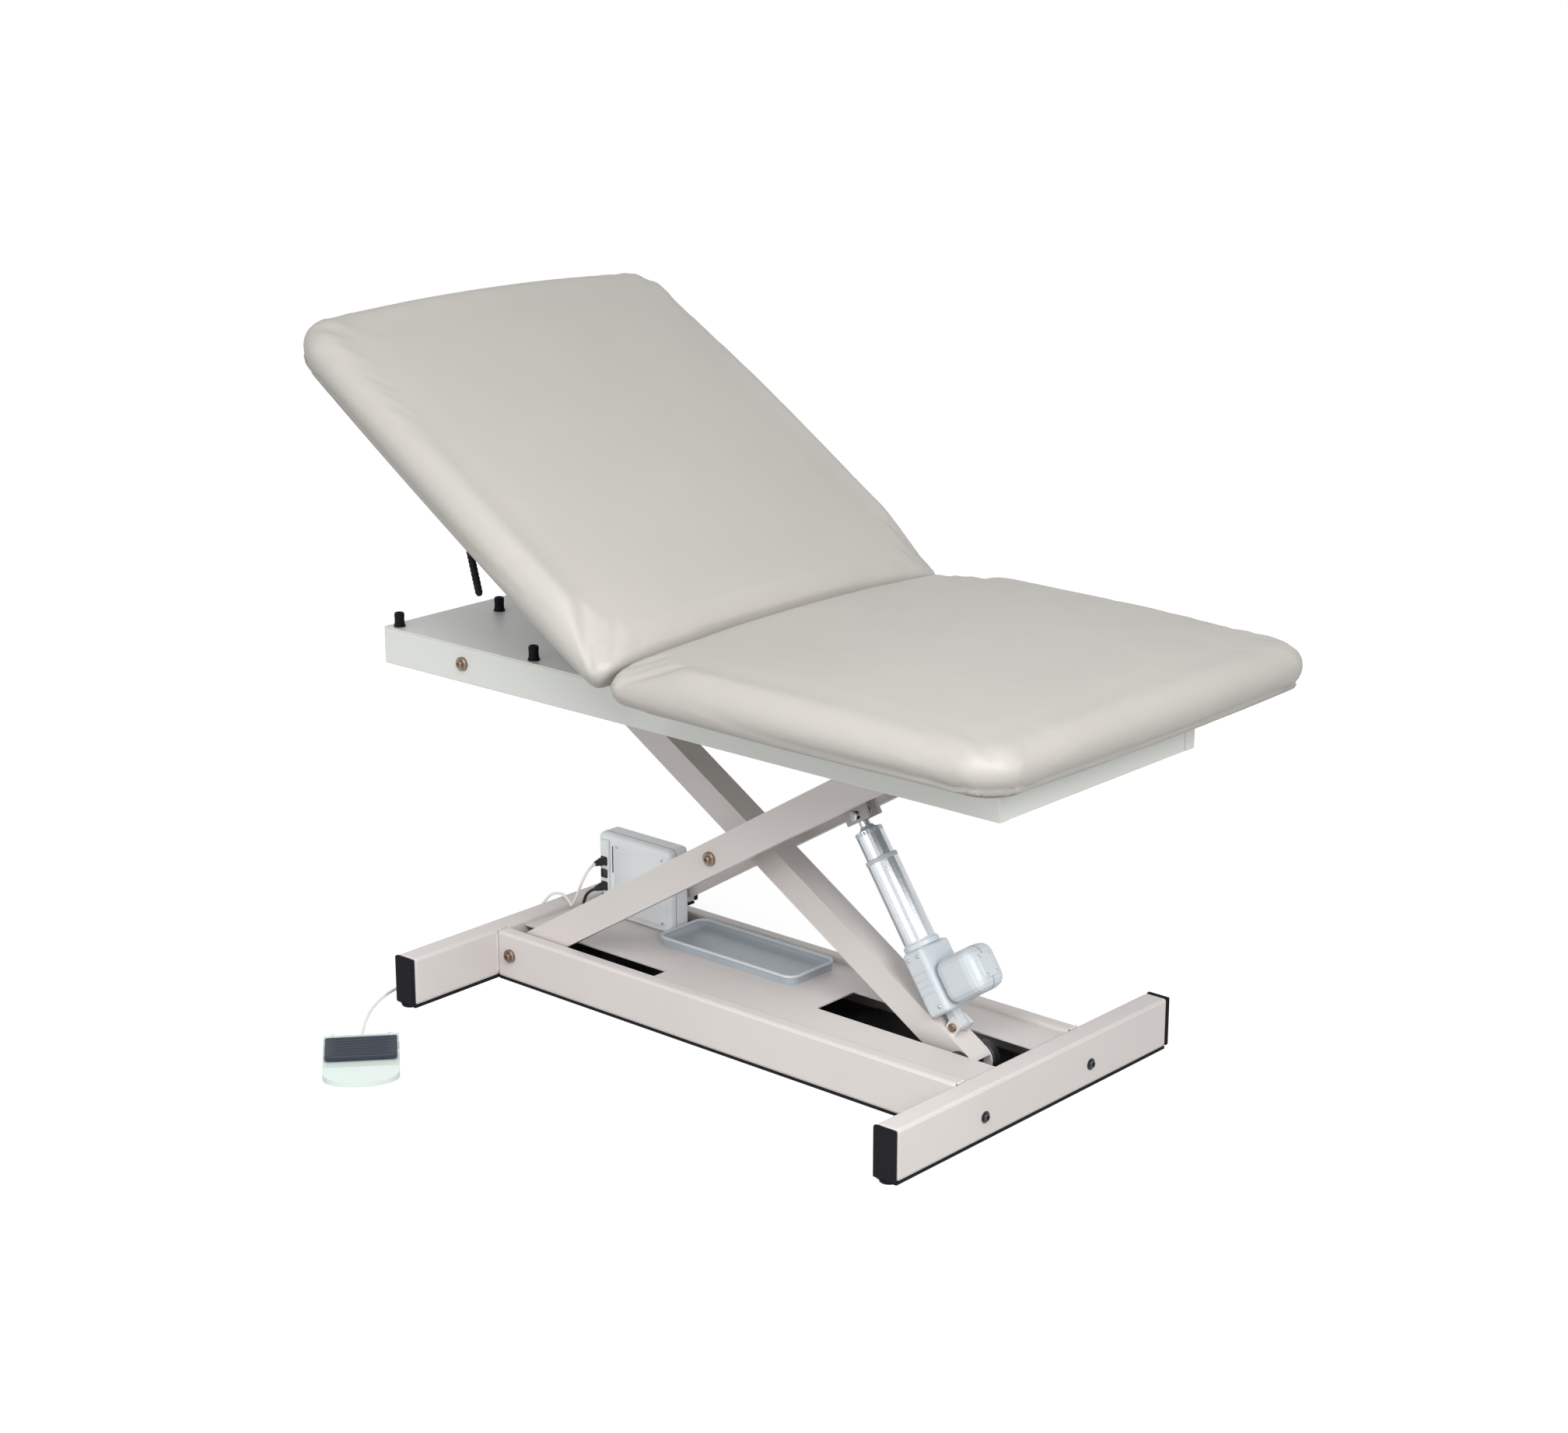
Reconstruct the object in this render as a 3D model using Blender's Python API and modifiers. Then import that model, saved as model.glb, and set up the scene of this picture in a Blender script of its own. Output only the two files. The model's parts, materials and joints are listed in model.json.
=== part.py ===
"""Bariatric treatment table: a powered scissor base, a fixed seat pad and a reclining backrest.

Metres, +Z up. The origin is on the floor under the middle of the head cross bar, +X runs to the foot end
and -Y is the side with the foot pedal. The lift legs and the backrest are built in the frames of empties
that sit on their pivots, so turning an empty turns the piece about its real axis.
"""

from math import atan2, cos, hypot, pi, radians, sin, sqrt

import bmesh
import bpy
from mathutils import Matrix, Vector

# Clearances
SEAT_GAP = 0.0003  # between pieces that rest on or are bolted to each other
ROUND_SIDES = 24

# Base
BAR_SPACING = 1.281
BAR_HALF_LENGTH = 0.432
TUBE_DEPTH = 0.0508
TUBE_HEIGHT = 0.1016
TUBE_WALL = 0.003
TUBE_EDGE = 0.006
STRIP_THICKNESS = 0.006
STRIP_INSET = 0.0024
CAP_FLANGE = 0.010
CAP_PLUG = 0.022
RAIL_OUTER_Y = 0.191
RAIL_WIDTH = 0.032
DECK_TOP = 0.098
DECK_THICKNESS = 0.003
DECK_CENTRE_HALF_WIDTH = 0.108
DECK_CENTRE_END = 0.80
DECK_SIDE_START = 0.44
ROLLER_SLOT_HALF_WIDTH = 0.058
TRACK_THICKNESS = 0.004
TRACK_START = 0.78

# Scissor lift
PIVOT_X = 0.0655
PIVOT_Z = 0.060
ROLLER_REACH = 0.13776  # from the lower rollers' axle to the middle of the foot bar
LEG_ANGLE = radians(31.5)
OUTER_LEG_INNER_Y = 0.117
OUTER_LEG_WIDTH = 0.036
OUTER_LEG_DEPTH = 0.065
INNER_LEG_SIZE = 0.060
LEG_WALL = 0.004
SHAFT_RADIUS = 0.012
SHAFT_HEAD_RADIUS = 0.0145
SHAFT_HEAD = 0.007
AXLE_RADIUS = 0.010
WHEEL_WIDTH = 0.020
WHEEL_SIDE_GAP = 0.0015
LOWER_WHEEL_RADIUS = 0.033

# Lift actuator
LOWER_PIN_FROM_END = 0.062  # from the lower rollers' axle, up the inner leg
LOWER_PIN_ABOVE = 0.044  # above the inner leg's axis
UPPER_PIN_FROM_END = 0.354  # from the upper rollers' axle, down the outer legs
UPPER_PIN_BELOW = 0.039  # below the outer legs' axis
ACTUATOR_PIN_RADIUS = 0.006
ACTUATOR_EYE_RADIUS = 0.0125
ACTUATOR_EYE_HALF_WIDTH = 0.0115
CHEEK_GAP = 0.001
CHEEK_THICKNESS = 0.008
CHEEK_MARGIN = 0.014
GEARBOX_START = 0.030
GEARBOX_LENGTH = 0.135
GEARBOX_HALF_WIDTH = 0.044
GEARBOX_LEG_SIDE = 0.024
GEARBOX_MOTOR_SIDE = 0.032
GEARBOX_EDGE = 0.009
MOTOR_START = 0.004  # from the lower end of the gearbox
MOTOR_LENGTH = 0.092
MOTOR_REACH = 0.100  # outwards from the gearbox
MOTOR_HALF_WIDTH = 0.043
MOTOR_EDGE = 0.024
COVER_TUBE_RADIUS = 0.0325
LIFT_ROD_SHOWING = 0.0945
COVER_TUBE_SOLID = 0.012
LIFT_ROD_RADIUS = 0.0285
LIFT_ROD_INSIDE = 0.100
LIFT_NECK = 0.036  # from the upper pin to where the rod takes its full width
LIFT_NECK_RADIUS = 0.011
LIFT_EYE_RADIUS = 0.014
LIFT_PIN_RADIUS = 0.007
LIFT_PIN_OVERHANG = 0.002
LUG_SLOT_TRAVEL = 0.0097
LUG_SLOT_DROP = 0.0014  # how much the slot falls away from the legs along its travel
LUG_SLOT_CLEARANCE = 0.0014
LUG_WIDTH = 0.026
CROSS_TUBE_RADIUS = 0.020

# Top frame
FRAME_HEAD_X = -0.1695
FRAME_FOOT_X = 1.4255
FRAME_HALF_WIDTH = 0.300
FRAME_ABOVE_PIVOT = 0.03756
FRAME_DEPTH = 0.078
FRAME_RAIL_WIDTH = 0.030
FRAME_WALL = 0.0025
PLATE_THICKNESS = 0.003
PLATE_GAP_Y = 0.080
PLATE_GAP_WIDTH = 0.050
BUMPER_RADIUS = 0.011
BUMPER_INSET_Y = 0.020
BUMPER_BACK = (0.414, 0.810)  # from the crease towards the head
MIDDLE_BUMPER = (0.750, -0.055)  # from the crease towards the head, and y

# Pads and recline hinge
CREASE_X = 0.6655
PAD_WIDTH = 1.016
SEAT_LENGTH = 0.915
BACK_LENGTH = 1.030
SEAT_STAND = 0.030
BOARD_THICKNESS = 0.012
BOARD_INSET = 0.035
PAD_THICKNESS = 0.0657
PAD_CROWN = 0.022
PAD_CREASE_FADE = 0.120  # the crown grows over this length from the crease
PAD_BOW = 0.014  # the free sides bow out between the corners
PAD_CORNER = 0.090
PAD_CREASE_CORNER = 0.012
PAD_SETBACK = 0.0008
HINGE_ABOVE_MID = 0.014
RECLINE = radians(33.3)
HINGE_Y = 0.198
HINGE_EAR = 0.006
HINGE_EAR_RADIUS = 0.010
HINGE_PIN_RADIUS = 0.005
HINGE_LEAF_THICKNESS = 0.005
HINGE_LEAF_LENGTH = 0.140
HINGE_LEAF_WIDTH = 0.026
HINGE_NOTCH_HALF_WIDTH = 0.015
HINGE_NOTCH_DEPTH = 0.020
BEAM_WIDTH = 0.040
BEAM_HALF_LENGTH = 0.250
BEAM_FROM_CREASE = (0.16, 0.66)

# Gas spring of the backrest
SPRING_Y = 0.080
SPRING_LOW_X = 0.0  # from the crease
SPRING_LOW_DROP = 0.058  # below the top of the frame
SPRING_ALONG = 0.420  # upper pin, from the hinge along the backrest
SPRING_DROP = 0.090  # upper pin, below the hinge
SPRING_RADIUS = 0.011
SPRING_BODY_LENGTH = 0.270
SPRING_ROD_RADIUS = 0.005
SPRING_ROD_INSIDE = 0.120
SPRING_BORE_ROOM = 0.080  # bore beyond the rod's inner end, for the rod to slide in
SPRING_EYE_RADIUS = 0.011
SPRING_EYE_HALF_WIDTH = 0.009
SPRING_PIN_RADIUS = 0.005
SPRING_PIN_HALF_LENGTH = 0.021
SPRING_CHEEK = 0.004
SPRING_CHEEK_GAP = 0.002
SPRING_SLOT_ALONG = 0.012
SPRING_SLOT_UP = 0.013
SPRING_SLOT_CLEARANCE = 0.0015
SPRING_BRACKET_START = 0.018  # foot end of the lower bracket's plate, from its pin
SPRING_BRACKET_LENGTH = 0.045
SPRING_BRACKET_HALF_WIDTH = 0.035

# Control box, tray and foot pedal
BOX_HEAD_X = 0.0955
BOX_LENGTH = 0.210
BOX_NEAR_Y = 0.045
BOX_DEPTH = 0.060
BOX_HEIGHT = 0.185
BOX_EDGE = 0.011
SOCKET_STRIP_WIDTH = 0.024
SOCKET_STRIP_DEPTH = 0.006
SOCKET_STRIP_MARGIN = 0.012
TRAY_HEAD_X = 0.316
TRAY_LENGTH = 0.374
TRAY_NEAR_Y = -0.006
TRAY_WIDTH = 0.140
TRAY_HEIGHT = 0.017
TRAY_WALL = 0.003
TRAY_CORNER = 0.024
PEDAL_CENTRE = (0.1585, -0.686)
PEDAL_TURN = radians(138.65)  # direction of the pedal's back edge from its front
PEDAL_DEPTH = 0.150
PEDAL_WIDTH = 0.150
PEDAL_NOSE = 0.045  # how far the round front stands out
PEDAL_LIP = 0.008
PEDAL_DECK = 0.018
PEDAL_HOOD = 0.034
PEDAL_HOOD_DEPTH = 0.012
ROCKER_DEPTH = 0.098
ROCKER_WIDTH = 0.142
ROCKER_BOTTOM = 0.0225
ROCKER_THICKNESS = 0.011
ROCKER_END_GAP = 0.003
CORD_RADIUS = 0.003
LEAD_RADIUS = 0.0035
CORD_STEP = 0.018

# Worked-out places
BAR_BOTTOM = STRIP_THICKNESS + SEAT_GAP
BAR_TOP = BAR_BOTTOM + TUBE_HEIGHT
RAIL_INNER_Y = RAIL_OUTER_Y - RAIL_WIDTH
RAIL_HEAD_X = TUBE_DEPTH / 2 + SEAT_GAP
RAIL_FOOT_X = BAR_SPACING - TUBE_DEPTH / 2 - SEAT_GAP
HALF_LEG = (BAR_SPACING - PIVOT_X - ROLLER_REACH) / (2 * cos(LEG_ANGLE))
LOWER_PIN_ALONG = HALF_LEG - LOWER_PIN_FROM_END  # from the scissor pivot, down the inner leg
UPPER_PIN_ALONG = HALF_LEG - UPPER_PIN_FROM_END  # from the scissor pivot, up the outer legs
SCISSOR_PIVOT = Vector((PIVOT_X + HALF_LEG * cos(LEG_ANGLE), 0, PIVOT_Z + HALF_LEG * sin(LEG_ANGLE)))
TOP_PIVOT_Z = PIVOT_Z + 2 * HALF_LEG * sin(LEG_ANGLE)
OUTER_LEG_OUTER_Y = OUTER_LEG_INNER_Y + OUTER_LEG_WIDTH
FRAME_TOP = TOP_PIVOT_Z + FRAME_ABOVE_PIVOT
FRAME_BOTTOM = FRAME_TOP - FRAME_DEPTH
PLATE_BOTTOM = FRAME_TOP - PLATE_THICKNESS
FRAME_RAIL_TOP = PLATE_BOTTOM - SEAT_GAP
UPPER_WHEEL_RADIUS = PLATE_BOTTOM - SEAT_GAP - TOP_PIVOT_Z
SEAT_BOTTOM = FRAME_TOP + SEAT_STAND
PAD_BOTTOM = SEAT_BOTTOM + BOARD_THICKNESS + SEAT_GAP
HINGE_Z = PAD_BOTTOM + PAD_THICKNESS / 2 + HINGE_ABOVE_MID


def along_inner_leg(along, above):
    """World x, z of a point given from the scissor pivot, down the inner leg and above its axis."""
    x = SCISSOR_PIVOT.x + along * cos(LEG_ANGLE) + above * sin(LEG_ANGLE)
    z = SCISSOR_PIVOT.z - along * sin(LEG_ANGLE) + above * cos(LEG_ANGLE)
    return x, z


def along_outer_leg(along, above):
    """World x, z of a point given from the scissor pivot, up the outer legs and above their axis."""
    x = SCISSOR_PIVOT.x + along * cos(LEG_ANGLE) - above * sin(LEG_ANGLE)
    z = SCISSOR_PIVOT.z + along * sin(LEG_ANGLE) + above * cos(LEG_ANGLE)
    return x, z


LOWER_PIN = along_inner_leg(LOWER_PIN_ALONG, LOWER_PIN_ABOVE)
UPPER_PIN = along_outer_leg(UPPER_PIN_ALONG, -UPPER_PIN_BELOW)
ACTUATOR_ANGLE = atan2(UPPER_PIN[1] - LOWER_PIN[1], UPPER_PIN[0] - LOWER_PIN[0])
ACTUATOR_LENGTH = hypot(UPPER_PIN[0] - LOWER_PIN[0], UPPER_PIN[1] - LOWER_PIN[1])
SPRING_LOW = (CREASE_X + SPRING_LOW_X, FRAME_TOP - SPRING_LOW_DROP)
SPRING_HIGH = (
    CREASE_X - SPRING_ALONG * cos(RECLINE) - SPRING_DROP * sin(RECLINE),
    HINGE_Z + SPRING_ALONG * sin(RECLINE) - SPRING_DROP * cos(RECLINE),
)
SPRING_ANGLE = atan2(SPRING_HIGH[1] - SPRING_LOW[1], SPRING_HIGH[0] - SPRING_LOW[0])
SPRING_LENGTH = hypot(SPRING_HIGH[0] - SPRING_LOW[0], SPRING_HIGH[1] - SPRING_LOW[1])


# Scene set-up
for old in list(bpy.data.objects):
    bpy.data.objects.remove(old, do_unlink=True)
PARTS = bpy.data.collections.new("bariatric_treatment_table")
CUTTERS = bpy.data.collections.new("cutters")
bpy.context.scene.collection.children.link(PARTS)
bpy.context.scene.collection.children.link(CUTTERS)

FINISHES = {
    # name: base colour (linear), roughness, metallic
    "vinyl": ((0.578, 0.558, 0.530), 0.42, 0.0),
    "board": ((0.045, 0.042, 0.040), 0.70, 0.0),
    "frame_paint": ((0.665, 0.686, 0.658), 0.40, 0.0),
    "base_paint": ((0.665, 0.623, 0.604), 0.45, 0.0),
    "black_rubber": ((0.016, 0.014, 0.019), 0.75, 0.0),
    "plated_steel": ((0.560, 0.570, 0.580), 0.30, 1.0),
    "bronze_pin": ((0.402, 0.212, 0.117), 0.38, 1.0),
    "nylon": ((0.700, 0.700, 0.680), 0.45, 0.0),
    "actuator_cover": ((0.610, 0.665, 0.680), 0.40, 0.0),
    "actuator_tube": ((0.720, 0.740, 0.760), 0.25, 1.0),
    "chrome_rod": ((0.640, 0.640, 0.650), 0.12, 1.0),
    "spring_black": ((0.020, 0.020, 0.022), 0.35, 0.0),
    "control_box": ((0.597, 0.652, 0.686), 0.45, 0.0),
    "tray_grey": ((0.260, 0.290, 0.305), 0.40, 0.0),
    "pedal_white": ((0.645, 0.723, 0.686), 0.45, 0.0),
    "pedal_navy": ((0.013, 0.019, 0.033), 0.55, 0.0),
    "cord_cream": ((0.855, 0.855, 0.791), 0.50, 0.0),
    "lead_black": ((0.014, 0.014, 0.016), 0.55, 0.0),
}


def material(name, finish):
    """A Principled material of the piece's own, with the finish's colour, roughness and metallic value."""
    colour, roughness, metallic = FINISHES[finish]
    made = bpy.data.materials.new(name)
    made.use_nodes = True
    shader = made.node_tree.nodes["Principled BSDF"]
    shader.inputs["Base Color"].default_value = (*colour, 1.0)
    shader.inputs["Roughness"].default_value = roughness
    shader.inputs["Metallic"].default_value = metallic
    made.diffuse_color = (*colour, 1.0)
    return made


def pivot(name, location, turn_y=0.0, turn_z=0.0):
    """An empty on a pivot: turn_y positive dips the empty's +X axis."""
    made = bpy.data.objects.new(name, None)
    made.location = location
    made.rotation_euler = (0.0, turn_y, turn_z)
    PARTS.objects.link(made)
    return made


BASE = pivot("base_frame", (0, 0, 0))
LIFT = pivot("lift_pivot", (PIVOT_X, 0, PIVOT_Z), turn_y=-LEG_ANGLE)
INNER = pivot("scissor_pivot", SCISSOR_PIVOT, turn_y=LEG_ANGLE)
TOP = pivot("top_pivot", (PIVOT_X, 0, TOP_PIVOT_Z))
BACK = pivot("recline_pivot", (CREASE_X, 0, HINGE_Z), turn_y=RECLINE)
ACTUATOR = pivot("actuator_pivot", (LOWER_PIN[0], 0, LOWER_PIN[1]), turn_y=-ACTUATOR_ANGLE)
SPRING = pivot("spring_pivot", (SPRING_LOW[0], SPRING_Y, SPRING_LOW[1]), turn_y=-SPRING_ANGLE)
PEDAL = pivot("pedal_frame", (*PEDAL_CENTRE, 0), turn_z=PEDAL_TURN)
ROCKER_AXIS_X = PEDAL_DEPTH / 2 - PEDAL_HOOD_DEPTH - ROCKER_END_GAP - ROCKER_DEPTH / 2
ROCKER = pivot("rocker_pivot", (ROCKER_AXIS_X, 0, ROCKER_BOTTOM))
ROCKER.parent = PEDAL


def add(name, mesh, parent, finish):
    """The mesh as a named object under an empty. With no finish it is a cutter."""
    made = bpy.data.objects.new(name, mesh)
    made.parent = parent
    if finish is None:
        CUTTERS.objects.link(made)
        made.hide_render = True
        made.display_type = "WIRE"
    else:
        PARTS.objects.link(made)
        mesh.materials.append(material(name, finish))
    return made


def from_bmesh(name, bm):
    mesh = bpy.data.meshes.new(name)
    bm.to_mesh(mesh)
    bm.free()
    return mesh


def box(name, low, high, parent, finish=None, bevel=0.0, segments=2):
    """A box between two corners of its parent's frame, its edges rounded by bevel."""
    low, high = Vector(low), Vector(high)
    bm = bmesh.new()
    bmesh.ops.create_cube(bm, size=1.0)
    bmesh.ops.scale(bm, vec=high - low, verts=bm.verts)
    bmesh.ops.translate(bm, vec=(low + high) / 2, verts=bm.verts)
    made = add(name, from_bmesh(name, bm), parent, finish)
    if bevel:
        edge = made.modifiers.new("rounded_edges", "BEVEL")
        edge.width = bevel
        edge.segments = segments
    return made


def cylinder(name, start, end, radius, parent, finish=None, sides=ROUND_SIDES, bevel=0.0):
    """A round bar between two points of its parent's frame."""
    start, end = Vector(start), Vector(end)
    turn = (end - start).to_track_quat("Z", "Y").to_matrix().to_4x4()
    bm = bmesh.new()
    bmesh.ops.create_cone(
        bm, cap_ends=True, segments=sides, radius1=radius, radius2=radius,
        depth=(end - start).length, matrix=Matrix.Translation((start + end) / 2) @ turn,
    )
    made = add(name, from_bmesh(name, bm), parent, finish)
    made.data.shade_smooth()
    made.data.set_sharp_from_angle(angle=radians(40))
    if bevel:
        edge = made.modifiers.new("rounded_edges", "BEVEL")
        edge.width = bevel
        edge.segments = 2
    return made


def bore(name, centre, axis_half_length, radius, parent):
    """A cutter along Y whose flats clear a round of the given radius by the seat gap."""
    start = Vector(centre) - Vector((0, axis_half_length, 0))
    end = Vector(centre) + Vector((0, axis_half_length, 0))
    return cylinder(name, start, end, (radius + SEAT_GAP) / cos(pi / ROUND_SIDES), parent)


def turned(name, profile, parent, location, finish, steps=ROUND_SIDES):
    """A turned piece about Y: profile is radius and distance along Y, from the far end to the near end."""
    bm = bmesh.new()
    points = [bm.verts.new((radius, 0, distance)) for radius, distance in profile]
    for first, second in zip(points, points[1:]):
        bm.edges.new((first, second))
    made = add(name, from_bmesh(name, bm), parent, finish)
    made.location = location
    made.rotation_euler = (-pi / 2, 0, 0)
    spin = made.modifiers.new("turning", "SCREW")
    spin.axis = "Z"
    spin.steps = steps
    spin.render_steps = steps
    spin.use_merge_vertices = True
    spin.merge_threshold = 0.0001
    return made


def outline(name, points, low, high, parent, finish=None, upright=True):
    """A flat outline with thickness: in the x-z plane from y low to high, or in the x-y plane from z low to high."""
    curve = bpy.data.curves.new(name, "CURVE")
    curve.dimensions = "2D"
    curve.fill_mode = "BOTH"
    curve.extrude = (high - low) / 2
    spline = curve.splines.new("POLY")
    spline.points.add(len(points) - 1)
    for point, (across, up) in zip(spline.points, points):
        point.co = (across, up, 0, 1)
    spline.use_cyclic_u = True
    flat = bpy.data.objects.new(name + "_outline", curve)
    CUTTERS.objects.link(flat)
    bpy.context.view_layer.update()
    mesh = bpy.data.meshes.new_from_object(flat.evaluated_get(bpy.context.evaluated_depsgraph_get()))
    bpy.data.objects.remove(flat)
    middle = (low + high) / 2
    if upright:
        mesh.transform(Matrix.Translation((0, middle, 0)) @ Matrix.Rotation(pi / 2, 4, "X"))
    else:
        mesh.transform(Matrix.Translation((0, 0, middle)))
    bm = bmesh.new()
    bm.from_mesh(mesh)
    bmesh.ops.remove_doubles(bm, verts=bm.verts, dist=0.00001)
    bmesh.ops.recalc_face_normals(bm, faces=bm.faces)
    bm.to_mesh(mesh)
    bm.free()
    mesh.name = name
    mesh.materials.clear()
    return add(name, mesh, parent, finish)


def stadium(start, end, radius, sides=10):
    """Points of a bar's outline with round ends about two pivots."""
    heading = atan2(end[1] - start[1], end[0] - start[0])
    points = []
    for centre, begin in ((end, heading - pi / 2), (start, heading + pi / 2)):
        for step in range(sides + 1):
            angle = begin + pi * step / sides
            points.append((centre[0] + radius * cos(angle), centre[1] + radius * sin(angle)))
    return points


def boolean(target, other, operation="DIFFERENCE"):
    step = target.modifiers.new(operation.lower(), "BOOLEAN")
    step.operation = operation
    step.solver = "EXACT"
    step.object = other


def cut(target, *cutters):
    for other in cutters:
        boolean(target, other)


def join(target, *others):
    for other in others:
        boolean(target, other, "UNION")


def shaft_profile(radius, half_length, head_radius=SHAFT_HEAD_RADIUS, head=SHAFT_HEAD):
    """A plain shaft with a round head on each end, outside its half length."""
    chamfer = head / 4
    end = half_length + head
    return [
        (0, end), (head_radius - chamfer, end), (head_radius, end - chamfer), (head_radius, half_length),
        (radius, half_length), (radius, -half_length), (head_radius, -half_length),
        (head_radius, chamfer - end), (head_radius - chamfer, -end), (0, -end),
    ]


def wheelset_profile(inner, width, wheel_radius, axle_radius):
    """An axle with a crowned wheel on each end, the wheels' inner faces at plus and minus inner."""
    outer = inner + width
    crown = width / 8
    half = [
        (0, outer), (wheel_radius - crown, outer), (wheel_radius, outer - crown),
        (wheel_radius, inner + crown), (wheel_radius - crown, inner), (axle_radius, inner),
    ]
    return half + [(radius, -distance) for radius, distance in reversed(half)]


SIDES = (("left", -1), ("right", 1))


# Base: cross bars, caps, rubber strips, rails, deck and roller track
def square_tube(name, low, high, along, finish, wall=TUBE_WALL, bevel=TUBE_EDGE, parent=None):
    """A square tube open at both ends; along is the index of its long axis."""
    parent = parent or BASE
    tube = box(name, low, high, parent, finish, bevel)
    inner_low = [a + wall for a in low]
    inner_high = [b - wall for b in high]
    inner_low[along] = low[along] - wall
    inner_high[along] = high[along] + wall
    cut(tube, box(name + "_inside", inner_low, inner_high, parent))
    return tube


def cross_bar(place, x):
    half_depth = TUBE_DEPTH / 2
    tube_end = BAR_HALF_LENGTH - CAP_FLANGE - SEAT_GAP
    low, high = (x - half_depth, -tube_end, BAR_BOTTOM), (x + half_depth, tube_end, BAR_TOP)
    square_tube(f"{place}_bar", low, high, 1, "base_paint")
    strip_low = (x - half_depth + STRIP_INSET, -tube_end, 0)
    strip_high = (x + half_depth - STRIP_INSET, tube_end, STRIP_THICKNESS)
    box(f"{place}_bar_strip", strip_low, strip_high, BASE, "black_rubber")
    for side, sign in SIDES:
        flange = sorted((sign * (tube_end + SEAT_GAP), sign * BAR_HALF_LENGTH))
        plug = sorted((sign * (tube_end + SEAT_GAP + CAP_FLANGE / 2), sign * (tube_end - CAP_PLUG)))
        cap = box(
            f"{place}_bar_cap_{side}", (low[0], flange[0], low[2]), (high[0], flange[1], high[2]),
            BASE, "black_rubber", TUBE_EDGE / 2,
        )
        inset = TUBE_WALL + SEAT_GAP
        join(cap, box(
            f"{place}_bar_plug_{side}", (low[0] + inset, plug[0], low[2] + inset),
            (high[0] - inset, plug[1], high[2] - inset), BASE,
        ))


def base():
    cross_bar("head", 0.0)
    cross_bar("foot", BAR_SPACING)
    for side, sign in SIDES:
        faces = sorted((sign * RAIL_INNER_Y, sign * RAIL_OUTER_Y))
        rail = square_tube(
            f"base_rail_{side}", (RAIL_HEAD_X, faces[0], BAR_BOTTOM), (RAIL_FOOT_X, faces[1], BAR_TOP),
            0, "base_paint",
        )
        middle = sign * (RAIL_INNER_Y + RAIL_OUTER_Y) / 2
        cut(rail, bore(f"rail_bore_{side}", (PIVOT_X, middle, PIVOT_Z), RAIL_WIDTH, SHAFT_RADIUS, BASE))
    turned(
        "base_pivot_shaft", shaft_profile(SHAFT_RADIUS, RAIL_OUTER_Y + SEAT_GAP),
        BASE, (PIVOT_X, 0, PIVOT_Z), "bronze_pin",
    )
    deck_low = DECK_TOP - DECK_THICKNESS
    half = DECK_CENTRE_HALF_WIDTH
    box("deck_centre", (RAIL_HEAD_X, -half, deck_low), (DECK_CENTRE_END, half, DECK_TOP), BASE, "base_paint")
    for side, sign in SIDES:
        inner, outer = half + SEAT_GAP, RAIL_INNER_Y - SEAT_GAP
        turn_in = DECK_CENTRE_END + SEAT_GAP
        corners = [
            (DECK_SIDE_START, inner), (DECK_SIDE_START, outer), (RAIL_FOOT_X, outer),
            (RAIL_FOOT_X, ROLLER_SLOT_HALF_WIDTH), (turn_in, ROLLER_SLOT_HALF_WIDTH), (turn_in, inner),
        ]
        corners = [(x, sign * y) for x, y in corners]
        outline(f"deck_side_{side}", corners, deck_low, DECK_TOP, BASE, "base_paint", upright=False)
    track_top = PIVOT_Z - LOWER_WHEEL_RADIUS - SEAT_GAP
    track_half = RAIL_INNER_Y - SEAT_GAP
    box(
        "roller_track", (TRACK_START, -track_half, track_top - TRACK_THICKNESS),
        (RAIL_FOOT_X, track_half, track_top), BASE, "spring_black",
    )


# Scissor: two outer legs on the base pivot, one inner leg between them
def outer_legs():
    length = 2 * HALF_LEG
    for side, sign in SIDES:
        faces = sorted((sign * OUTER_LEG_INNER_Y, sign * OUTER_LEG_OUTER_Y))
        middle = sum(faces) / 2
        points = stadium((0, 0), (length, 0), OUTER_LEG_DEPTH / 2)
        leg = outline(f"outer_leg_{side}", points, *faces, LIFT, "base_paint")
        inside = OUTER_LEG_DEPTH / 2 - LEG_WALL
        cut(leg, box(
            f"outer_leg_inside_{side}", (-OUTER_LEG_DEPTH, faces[0] + LEG_WALL, -inside),
            (length + OUTER_LEG_DEPTH, faces[1] - LEG_WALL, inside), LIFT,
        ))
        for along, radius in ((0, SHAFT_RADIUS), (HALF_LEG, SHAFT_RADIUS), (length, AXLE_RADIUS)):
            cut(leg, bore(f"outer_leg_bore_{side}_{along:.2f}", (along, middle, 0), OUTER_LEG_WIDTH, radius, LIFT))
    turned(
        "scissor_pivot_shaft", shaft_profile(SHAFT_RADIUS, OUTER_LEG_OUTER_Y + SEAT_GAP),
        LIFT, (HALF_LEG, 0, 0), "bronze_pin",
    )
    wheels = wheelset_profile(OUTER_LEG_OUTER_Y + WHEEL_SIDE_GAP, WHEEL_WIDTH, UPPER_WHEEL_RADIUS, AXLE_RADIUS)
    turned("upper_rollers", wheels, LIFT, (length, 0, 0), "nylon")


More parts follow.
